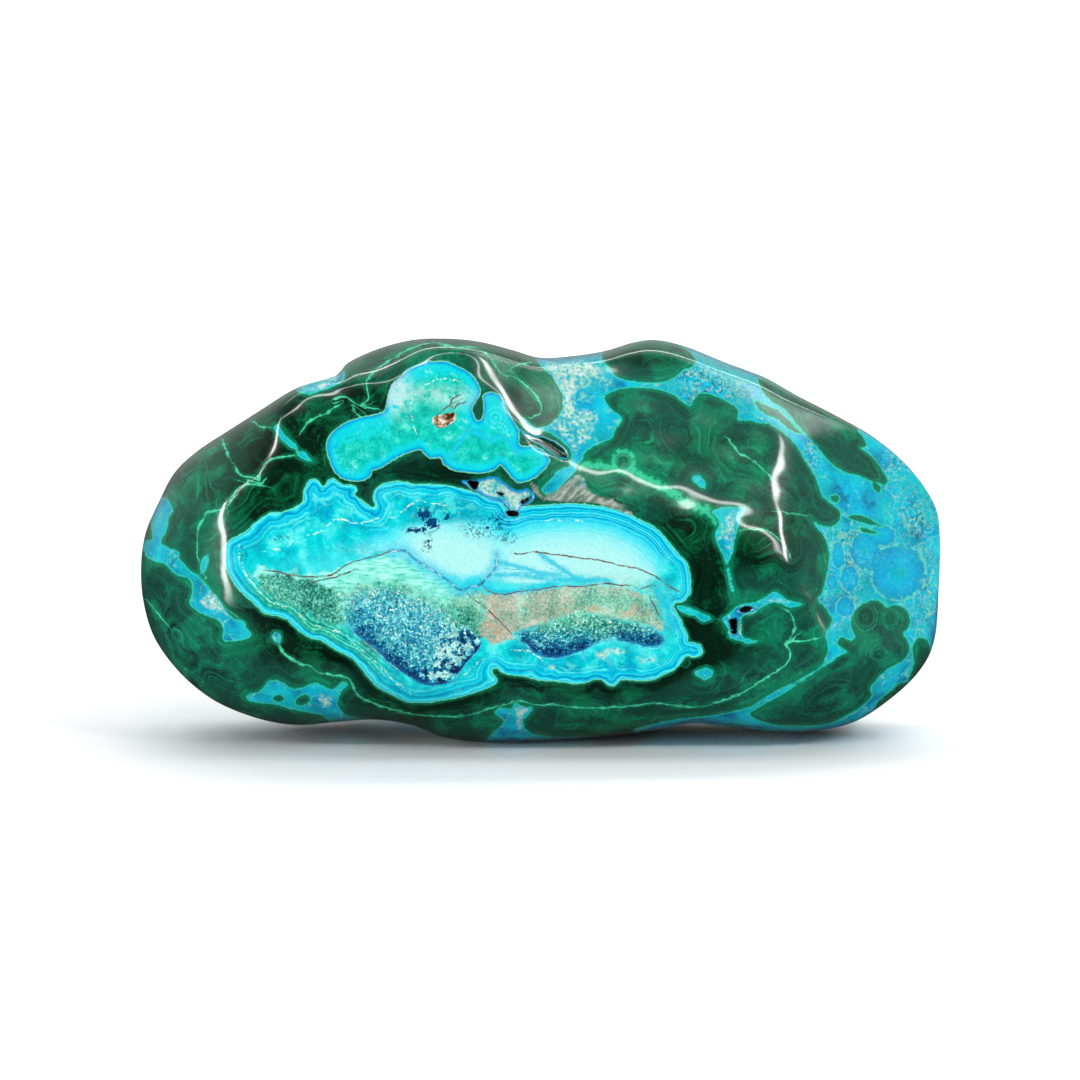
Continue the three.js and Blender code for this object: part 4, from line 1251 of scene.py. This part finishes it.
def with_teal_wall(n, blue, filling, fine):
    """Teal bands in place of the blue ones along the lower left of the wall."""
    teal = n.ramp(n.between(0.4, fine, n.noise(0.7, 4)),
                  [(0.38, (0, 118, 110)), (0.5, (38, 168, 142)), (0.62, (96, 214, 184))])
    at_wall = n.times(n.mark("teal_wall"), n.step(5.5, 4.0, filling), n.step(0.3, 0.9, filling))
    return n.mix(at_wall, blue, teal)


# %% Zones of the heart
def with_zones(n, filling):
    """The streaked wash, the olive corner, the beige band with sage and rust in it, and navy specks."""
    def zone(name, size, much):
        """A soft marking whose edge is broken up by fine noise."""
        return n.step(0.3, 0.7, n.plus(n.mark(name), n.swing(size, much, 4)))

    streaked = n.streaks(n.mm, (0.5, 1.0, 2.4), 1.3, 4.0)
    wash = n.ramp(n.between(0.3, streaked, n.noise(3.0, 3)),
                  [(0.33, (30, 142, 112)), (0.4, (92, 208, 184)), (0.5, (136, 230, 214)),
                   (0.62, (170, 242, 230))])
    filling = n.mix(zone("wash", 1.6, 1.4), filling, wash)
    olive = n.ramp(n.between(0.3, n.noise(0.32, 4), n.noise(2.5, 3)),
                   [(0.36, (24, 64, 50)), (0.43, (40, 114, 94)), (0.52, (58, 156, 136)),
                    (0.62, (124, 206, 182))])
    filling = n.mix(zone("olive", 1.0, 1.6), filling, olive)
    grainy = n.between(0.5, n.noise(0.35, 4, 4.0), n.noise(2.6, 3, 4.0))
    beige = n.ramp(grainy, [(0.38, (92, 140, 122)), (0.46, (136, 168, 148)), (0.54, (174, 176, 156)),
                            (0.64, (198, 204, 188))])
    filling = n.mix(zone("beige", 1.5, 1.3), filling, beige)
    sage = n.ramp(grainy, [(0.38, (72, 150, 128)), (0.5, (122, 200, 172)), (0.62, (170, 222, 196))])
    sage_mask = n.times(n.mark("greener"), n.step(0.3, 0.5, n.noise(1.6, 4, 1.0)))
    filling = n.mix(n.times(sage_mask, 0.9), filling, sage)
    rust = n.times(n.mark("rust"), n.step(0.44, 0.6, n.noise(1.0, 4, 6.0)))
    filling = n.mix(n.times(rust, 0.7), filling, (206, 160, 120))
    specks = n.mark("navy_specks")
    scattered = n.step(0.56, 0.64, n.plus(n.times(n.grains(0.28), 0.5), n.times(n.noise(0.5, 3), 0.6)))
    solid_part = n.step(1.1, 1.2, n.plus(specks, n.swing(0.55, 3.6, 4)))
    navy = n.plus(n.times(n.step(0.15, 0.6, specks), scattered, 0.7), solid_part)
    return n.mix(n.times(navy, 0.95), filling, (0, 50, 104))


# %% Veins and cracks
def with_lines(n, colour):
    """Blue veins with a wide soft halo, brown cracks and cream lines, laid over a colour."""
    blue_far, soft_far = n.mark("blue_far"), n.mark("soft_far")
    feathered = n.plus(n.math("MINIMUM", blue_far, n.plus(soft_far, 0.3)), n.swing(1.2, 1.5, 3))
    soft_halo = n.times(n.step(1.3, 0.1, feathered), n.step(1.6, 0.6, soft_far))
    blue_halo = n.times(n.step(1.9, 0.2, feathered), n.step(2.4, 1.4, blue_far))
    halo = n.math("MAXIMUM", soft_halo, blue_halo)
    colour = n.mix(n.times(halo, 0.6), colour, (14, 190, 220))
    vein = n.times(line(n, "soft", 0.34, 0.5), n.step(0.3, 0.5, n.noise(1.2, 4)))
    colour = n.mix(n.times(vein, 0.75), colour, (26, 190, 210))
    colour = n.mix(n.times(line(n, "blue", 0.2, 0.14), 0.7), colour, (0, 112, 160))
    core = n.times(line(n, "blue", 0.07, 0.1), n.step(0.45, 0.55, n.noise(1.0, 2)))
    colour = n.mix(core, colour, (206, 236, 226))
    thin = n.plus(n.times(n.step(0.32, 0.5, n.noise(1.4, 2, 7.0)), 0.6), 0.4)
    colour = n.mix(n.times(line(n, "brown", 0.11, 0.24), thin), colour, (96, 66, 60))
    broken = n.step(0.46, 0.56, n.noise(0.5, 3))
    return n.mix(n.times(line(n, "cream", 0.09, 0.5), broken, 0.9), colour, (200, 236, 214))


# %% [markdown]
# ## The druse's ground
# Under the crystals the hollow is stained from pale cyan to steel blue, greener where it is shallow, and
# painted shade darkens it to navy in the deep corners. The crystals take their colour from the same two
# functions, so the two agree.


# %% Druse colour
def druse_ramp(n, value):
    """From navy through steel blue to pale cyan, and greener where the hollow is shallow."""
    blue = n.ramp(value, [(0.05, (0, 44, 100)), (0.25, (0, 94, 152)), (0.42, (24, 150, 190)),
                          (0.55, (64, 196, 214)), (0.7, (120, 230, 232)), (0.9, (206, 248, 244))])
    green = n.ramp(value, [(0.1, (0, 90, 90)), (0.35, (50, 164, 148)), (0.6, (110, 220, 192)),
                           (0.85, (190, 240, 220))])
    return n.mix(n.mark("shallow"), blue, green)


def druse_tone(n):
    """Lumps of two sizes, in chunks and lighter where it sparkles, and painted shade in the deep corners."""
    lumps = n.between(0.4, n.noise(0.8, 3), n.noise(4.5, 2, 3.0))
    chunky = n.centred(n.step(0.44, 0.54, n.noise(1.0, 2, 1.0)))
    sparkling = n.times(n.mark("sparkle"), n.plus(n.times(chunky, 0.8), 0.1))
    # Painted shade, darkest at the deep lower edges.
    darker = n.plus(n.times(n.mark("deep"), -0.13), n.times(n.mark("deepest"), -0.3))
    return n.plus(lumps, sparkling, darker, 0.15)


# %% [markdown]
# ## The small lobe
# The lobe is coloured along its depth as the heart is, but in teal, with a greener marbling, dark
# freckles, ripples round one point and a painted reflection, a whitish patch, on its shoulder.


# %% Lobe colour
def lobe_teal(n):
    """Blue at the wall, then cyan, and teal in the middle, mottled, with fine bands."""
    lobe = n.mark("lobe")
    banded = n.times(n.centred(bands(n, lobe, 0.9, 0.3, 70.0)), n.step(0.3, 1.6, lobe), 1.6)
    clouds = n.times(n.swing(2.6, 4.0, 4), n.step(0.2, 1.5, lobe))
    teal = n.ramp(n.plus(lobe, banded, clouds),
                  [(0.0, (0, 146, 200)), (0.25, (0, 164, 212)), (0.55, (10, 202, 212)),
                   (1.8, (16, 208, 206)), (3.5, (24, 204, 198)), (6.0, (36, 190, 178))])
    thin_lines = n.step(0.03, 0.01, n.math("ABSOLUTE", n.centred(n.noise(1.6, 4, 4.0))))
    pale = n.times(thin_lines, n.step(0.46, 0.6, n.noise(3.0, 2)), n.step(0.6, 1.6, lobe))
    teal = n.mix(n.times(pale, 0.6), teal, (150, 232, 214))
    greenish = n.step(0.25, 0.6, n.plus(n.mark("greenish"), n.swing(1.4, 0.8, 4)))
    marbled = n.ramp(n.noise(1.5, 4, 11.0), [(0.34, (0, 164, 146)), (0.48, (8, 190, 168)),
                                             (0.62, (34, 206, 186)), (0.74, (116, 226, 208))])
    teal = n.mix(n.times(greenish, n.step(0.9, 1.7, lobe), 0.82), teal, marbled)
    freckles = n.times(mottling(n, 0.36, 0.24, 0.05), n.step(0.8, 2.0, lobe))
    return with_ripples(n, n.mix(n.times(freckles, 0.6), teal, (0, 120, 140)))


def with_ripples(n, teal):
    """Rings round one point, as a sine of the distance from it, and a painted reflection on the shoulder."""
    from_middle = n.mark("ripple")
    wave = n.math("SINE", n.times(n.plus(from_middle, n.swing(0.8, 0.5, 3)), 9.0))
    ripple = n.times(n.step(0.3, 0.9, wave), n.step(2.2, 1.2, from_middle))
    teal = n.mix(n.times(ripple, 0.4), teal, (100, 222, 222))
    # Painted reflection: a whitish patch laid over the lobe's shoulder.
    painted_sheen = n.times(n.mark("painted_sheen"), n.step(0.3, 0.55, n.noise(0.9, 5)))
    return n.mix(n.times(painted_sheen, 0.65), teal, (206, 226, 222))


# %% [markdown]
# ## Layer over layer
# The stone's colour starts as malachite, and each other mineral is laid over it inside its own marking.
# All the markings share one noise that roughens their edges, so an edge and the rim beside it stay
# together.


# %% Markings with a rough edge
class StoneNodes(Patterns):
    """Nodes that also know the depth inside a marking, with the edge that all the markings share."""

    def __init__(self, tree):
        super().__init__(tree)
        self.rough_edge = self.swing(0.7, 0.5, 4)

    def depth(self, name):
        """The depth inside a marking, in mm, from its rough edge."""
        return self.plus(self.mark(name), self.rough_edge)

    def within(self, name, softness=0.09):
        """1 inside a marking."""
        return self.step(-softness, softness, self.depth(name))

    def rim(self, name, low, high, softness=0.08):
        """1 between two depths, `low` and `high`, from a marking's edge."""
        past_low = self.step(low - softness, low + softness, self.depth(name))
        return self.times(past_low, self.step(high + softness, high - softness, self.depth(name)))


# %% Green and blue layers
def green_layers(n):
    """Malachite with its hairlines, a green fringe beside the net, and the eyes."""
    colour = with_hairlines(n, malachite(n))
    colour = n.mix(n.times(n.rim("net", -0.4, 0), 0.7), colour, (10, 118, 88))
    return with_eyes(n, colour)


def blue_layers(n, colour):
    """The net, the lobe and the heart, each with its rim, and the veins and cracks over them."""
    net = with_ovals(n, net_blue(n))
    net = n.mix(n.times(n.rim("net", -0.1, 0.22), 0.9), net, (40, 192, 164))
    colour = n.mix(n.within("net"), colour, net)
    colour = n.mix(n.rim("lobe", -0.16, 0.06), colour, (110, 206, 160))
    colour = n.mix(n.within("lobe", 0.06), colour, lobe_teal(n))
    colour = n.mix(n.rim("heart", -0.45, 0), colour, (4, 96, 66))
    colour = n.mix(n.rim("heart", -0.14, 0.08), colour, (104, 210, 164))
    colour = n.mix(n.within("heart", 0.06), colour, with_zones(n, heart_filling(n)))
    return with_lines(n, colour)


# %% Rock layers
def pale_rock(n):
    """Cream rock in a ground of cyan, with small round blue holes and dark grains."""
    rock = n.ramp(n.between(0.5, n.noise(0.5, 4, 2.0), n.noise(2.6, 2, 2.0)),
                  [(0.4, (20, 160, 184)), (0.46, (92, 186, 178)), (0.53, (164, 204, 192)),
                   (0.66, (214, 226, 216))])
    holes = n.times(n.step(0.36, 0.26, n.cells(0.75)), n.step(0.4, 0.55, n.noise(2.2, 2)))
    rock = n.mix(holes, rock, (20, 164, 200))
    return n.mix(n.times(n.step(0.62, 0.7, n.noise(0.3, 2)), 0.5), rock, (40, 110, 100))


def rock_layers(n, colour):
    """The patches of pale rock, the grey sheen, the filled pocket, the dark lens and the scar."""
    rock = pale_rock(n)
    ragged = n.plus(n.mark("cream_rock"), n.times(n.rough_edge, 3.0))
    colour = n.mix(n.step(-0.3, 0.5, ragged), colour, rock)
    turned = n.put("VectorRotate", {"Vector": n.mm, "Axis": (0, 1, 0), "Angle": 0.7})
    grey = n.ramp(n.streaks(turned, (0.5, 1.0, 1.7), 0.9, 5.0),
                  [(0.34, (64, 94, 80)), (0.46, (112, 132, 118)), (0.56, (146, 156, 144)),
                   (0.68, (196, 200, 190))])
    # Painted reflection: the grey sheen is laid on as colour, streaked.
    sheen = n.step(0.25, 0.75, n.plus(n.mark("grey_sheen"), n.swing(0.8, 1.0, 4)))
    colour = n.mix(n.times(sheen, 0.85), colour, grey)
    pocket = n.mix(n.step(0.2, 0.7, n.depth("pocket")), (0, 140, 190), rock)
    colour = n.mix(n.within("pocket"), colour, pocket)
    lens = n.mix(n.step(0.1, 0.25, n.depth("lens")), (30, 150, 170), (4, 50, 36))
    colour = n.mix(n.within("lens"), colour, lens)
    scar = n.ramp(n.noise(0.8, 4), [(0.38, (62, 38, 24)), (0.48, (150, 108, 70)), (0.6, (224, 216, 196))])
    return n.mix(n.within("scar"), colour, scar)


# %% Hollows and grain
def hollow_mask(n):
    """1 in the druse's hollows. The edge is sharp where they are deep, and broken up where they are not."""
    softly = n.plus(n.mark("druse"), n.swing(1.2, 2.4, 3), n.swing(0.3, 3.0))
    sharply = n.times(n.step(0.3, 0.8, n.mark("deep")), n.within("druse"))
    return n.math("MAXIMUM", n.step(0.0, 0.8, softly), sharply)


def with_grain(n, colour):
    """A fine grain that darkens or lightens the colour. Where it is the middle grey, nothing changes."""
    grain = n.between(0.5, n.grains(0.24), n.noise(0.2, 2))
    greys = n.ramp(grain, [(0.15, (120, 120, 120)), (0.5, (188, 188, 188)), (0.85, (240, 240, 240))])
    return n.mix(0.34, colour, greys, "OVERLAY")


# %% [markdown]
# ## The finish
# The polish is a clear coat over a slightly uneven stone. The hollows, the pits and the pale rock took
# no polish, so they have no coat and are rougher.

# %% The stone's material
STONE_IOR = 1.4  # lower than malachite's, because the clear coat above it gives most of the gloss


def new_material(name):
    """A material with one Principled shader. Returns it and the shader's input sockets."""
    material = bpy.data.materials.new(name)
    material.use_nodes = True
    return material, material.node_tree.nodes["Principled BSDF"].inputs


def stone_material():
    """Every layer over the malachite, then roughness, the coat and a faint relief."""
    material, shader = new_material("polished_chrysocolla_malachite")
    n = StoneNodes(material.node_tree)
    hollow, pit = hollow_mask(n), n.within("pit")
    colour = rock_layers(n, blue_layers(n, green_layers(n)))
    colour = n.mix(hollow, colour, druse_ramp(n, druse_tone(n)))
    # Painted shade: the open pits are coloured nearly black.
    colour = n.mix(pit, colour, (2, 6, 8))
    n.feed(shader["Base Color"], with_grain(n, colour))
    softer = n.plus(n.times(n.mark("beige"), 0.16), n.times(n.within("cream_rock"), 0.2))
    unpolished = n.plus(n.times(hollow, 0.3), n.times(pit, 0.5))
    n.feed(shader["Roughness"], n.plus(n.times(n.noise(2.5, 4), 0.14), softer, unpolished, 0.16))
    n.feed(shader["IOR"], STONE_IOR)
    n.feed(shader["Specular IOR Level"], 0.3)
    n.feed(shader["Coat Weight"], n.times(n.step(1.0, 0.2, hollow), n.step(0.3, -0.3, n.depth("cream_rock")),
                                          n.step(0.1, -0.1, n.depth("pit")), 0.8))
    n.feed(shader["Coat Roughness"], n.times(n.noise(4.0, 4, 3.0), 0.12))
    relief = n.plus(n.times(n.noise(0.9, 4), 0.05), n.times(hollow, n.noise(0.25, 3), 0.4))
    n.feed(shader["Normal"], n.put("Bump", {"Height": relief, "Distance": 0.3 * MM, "Strength": 0.8}))
    return material


stone.data.materials.append(stone_material())
print("stone's material:", len(stone.data.materials[0].node_tree.nodes), "nodes")

# %% The crystals' material
QUARTZ_IOR = 1.54  # quartz's own


def crystal_material():
    """The same colours as the ground under them, varied from one crystal to the next, and glossy."""
    material, shader = new_material("stained_quartz")
    n = Patterns(material.node_tree)
    tone = n.plus(druse_tone(n), n.times(n.centred(n.mark("tint")), 0.5))
    n.feed(shader["Base Color"], druse_ramp(n, tone))
    n.feed(shader["Roughness"], n.times(n.noise(0.6, 2), 0.35))
    n.feed(shader["IOR"], QUARTZ_IOR)
    return material


crystals.data.materials.append(crystal_material())
print("crystals' material:", len(crystals.data.materials[0].node_tree.nodes), "nodes")

# %% [markdown]
# ## Both pieces belong to the one stone
# The stone and its crystals ride on the row's only body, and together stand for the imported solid.

# %% Ride on the frame
for piece in (stone, crystals):
    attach(piece, "root")
    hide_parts("polished_stone")
print("riding on root:", stone.name, "and", crystals.name)

# %% [markdown]
# ## Camera
# A long lens from half a metre, a little above the stone and square to its window, so that the stone
# shows with little perspective.

# %% Camera
scene = bpy.context.scene
camera = bpy.data.objects.new("camera", bpy.data.cameras.new("camera"))
scene.collection.objects.link(camera)
camera.data.lens = 100
target = Vector(VIEW_TARGET * MM)
camera.location = target + Vector(TOWARDS_VIEWER) * VIEW_DISTANCE * MM
camera.rotation_euler = Vector(-TOWARDS_VIEWER).to_track_quat("-Z", "Y").to_euler()
scene.camera = camera
print("camera at", [round(c, 3) for c in camera.location])

# %% [markdown]
# ## Studio
# Polished stone shows the lights themselves, so they are chosen for the streaks they leave: two tall
# strips at the sides, a thin one high in front, a large soft one overhead for the colours, and a box
# high on the right that lays a pale veil over the stone's top right. Each fades towards its own edges,
# so no reflection ends in a hard line. The floor sweeps up into a backdrop with a light of its own, and
# a dim world keeps the reflections of the empty room dark.

# %% Floor
PALE = paint(246, 248, 250)
# Metres: the near end of the floor, where its bend begins and how round it is, and the wall's height
NEAR_END, BEND_FROM, BEND_RADIUS, WALL_TOP = -3.0, 0.9, 0.6, 3.0
HALF_WIDTH = 1.3


def sweep():
    """A floor that curves up into a wall: a straight run, a quarter circle and a rise, drawn out in x."""
    bend = np.linspace(0, math.pi / 2, 24)
    run = np.concatenate([[NEAR_END], BEND_FROM + BEND_RADIUS * np.sin(bend), [BEND_FROM + BEND_RADIUS]])
    rise = np.concatenate([[0.0], BEND_RADIUS - BEND_RADIUS * np.cos(bend), [WALL_TOP]])
    across = np.array([-HALF_WIDTH, HALF_WIDTH])
    points = np.stack([np.broadcast_to(across, (len(run), 2)), np.repeat(run[:, None], 2, 1),
                       np.repeat(rise[:, None], 2, 1)], -1).reshape(-1, 3)
    i = 2 * np.arange(len(run) - 1)
    return add_mesh("floor", points / MM, np.stack([i, i + 1, i + 3, i + 2], -1).tolist())


floor = sweep()
floor_material, shader = new_material("matt_floor")
n = Nodes(floor_material.node_tree)
n.feed(shader["Base Color"], PALE)
n.feed(shader["Roughness"], 0.9)
# Far from the stone the floor fades into the white beyond it, but the wall behind stays solid. So the
# distance away is taken to the sides and in front, and whatever lies behind counts as 0 in y. The limit
# on x is the floor's own edge, which no point is past.
FADE_FROM, FADE_TO = 550.0, 900.0
side_and_front = n.put("VectorMath", {0: n.mm, 1: (HALF_WIDTH / MM, 0.0, 0.0)}, operation="MINIMUM")
away = n.put("VectorMath", {0: side_and_front}, operation="LENGTH", output="Value")
on_wall = n.step(0.0, 40.0, n.put("SeparateXYZ", {0: n.mm}, output="Z"))
n.feed(shader["Alpha"], n.math("MAXIMUM", n.step(FADE_TO, FADE_FROM, away), on_wall))
floor.data.materials.append(floor_material)
floor.visible_glossy = False
print("floor:", len(floor.data.polygons), "faces")


# %% Lights
def strip(name, at, size, watts, aim=target, fading_from=0.15):
    """An oval area light in metres and watts, turned towards a point, or else the middle of the stone.
    It fades from `fading_from` to 0.5, which is its edge, as shares of its width."""
    light = bpy.data.objects.new(name, bpy.data.lights.new(name, "AREA"))
    scene.collection.objects.link(light)
    light.data.shape = "ELLIPSE"
    light.data.size, light.data.size_y = size
    light.data.energy = watts
    light.location = at
    light.rotation_euler = (Vector(aim) - Vector(at)).to_track_quat("-Z", "Y").to_euler()
    light.data.use_nodes = True
    n = Nodes(light.data.node_tree)
    spot = n.put("NewGeometry", output="Parametric")
    off_middle = n.put("VectorMath", {0: spot, 1: (0.5, 0.5, 0.0)}, operation="DISTANCE", output="Value")
    n.feed(n.tree.nodes["Emission"].inputs["Strength"], n.step(0.5, fading_from, off_middle))


strip("left_strip", (-0.5, -0.5, 0.16), (0.12, 0.8), 5.5)
strip("right_strip", (0.52, -0.5, 0.5), (0.16, 0.42), 4.2)
strip("front_strip", (0, -0.6, 0.5), (1.5, 0.06), 3.6)
strip("overhead", (0, 0.15, 1.1), (1.7, 1.4), 3.8, fading_from=0.2)
strip("corner_box", (0.55, -0.12, 0.79), (0.95, 0.75), 8, fading_from=0.0)
strip("backdrop_light", (0, 0.7, 1.5), (3.0, 0.4), 40, aim=(0, 1.8, 0.3), fading_from=0.4)
print("lights:", [light.name for light in bpy.data.lights])

# %% World
world = bpy.data.worlds.new("studio")
scene.world = world
world.use_nodes = True
n = Nodes(world.node_tree)
background = world.node_tree.nodes["Background"].inputs
towards = n.put("TexCoord", output="Generated")
backwards = n.put("SeparateXYZ", {0: towards}, output="Y")
above = n.step(-0.15, 0.2, n.put("SeparateXYZ", {0: towards}, output="Z"))
room = n.plus(n.times(n.step(-0.9, 0.2, backwards), above, 0.3), 0.02)
seen = n.put("LightPath", output="Is Camera Ray")
n.feed(background["Strength"], n.between(seen, room, 1.0))
n.feed(background["Color"], (1, 1, 1, 1))
scene.view_settings.view_transform = "Standard"
print("world:", world.name, "with", len(world.node_tree.nodes), "nodes")
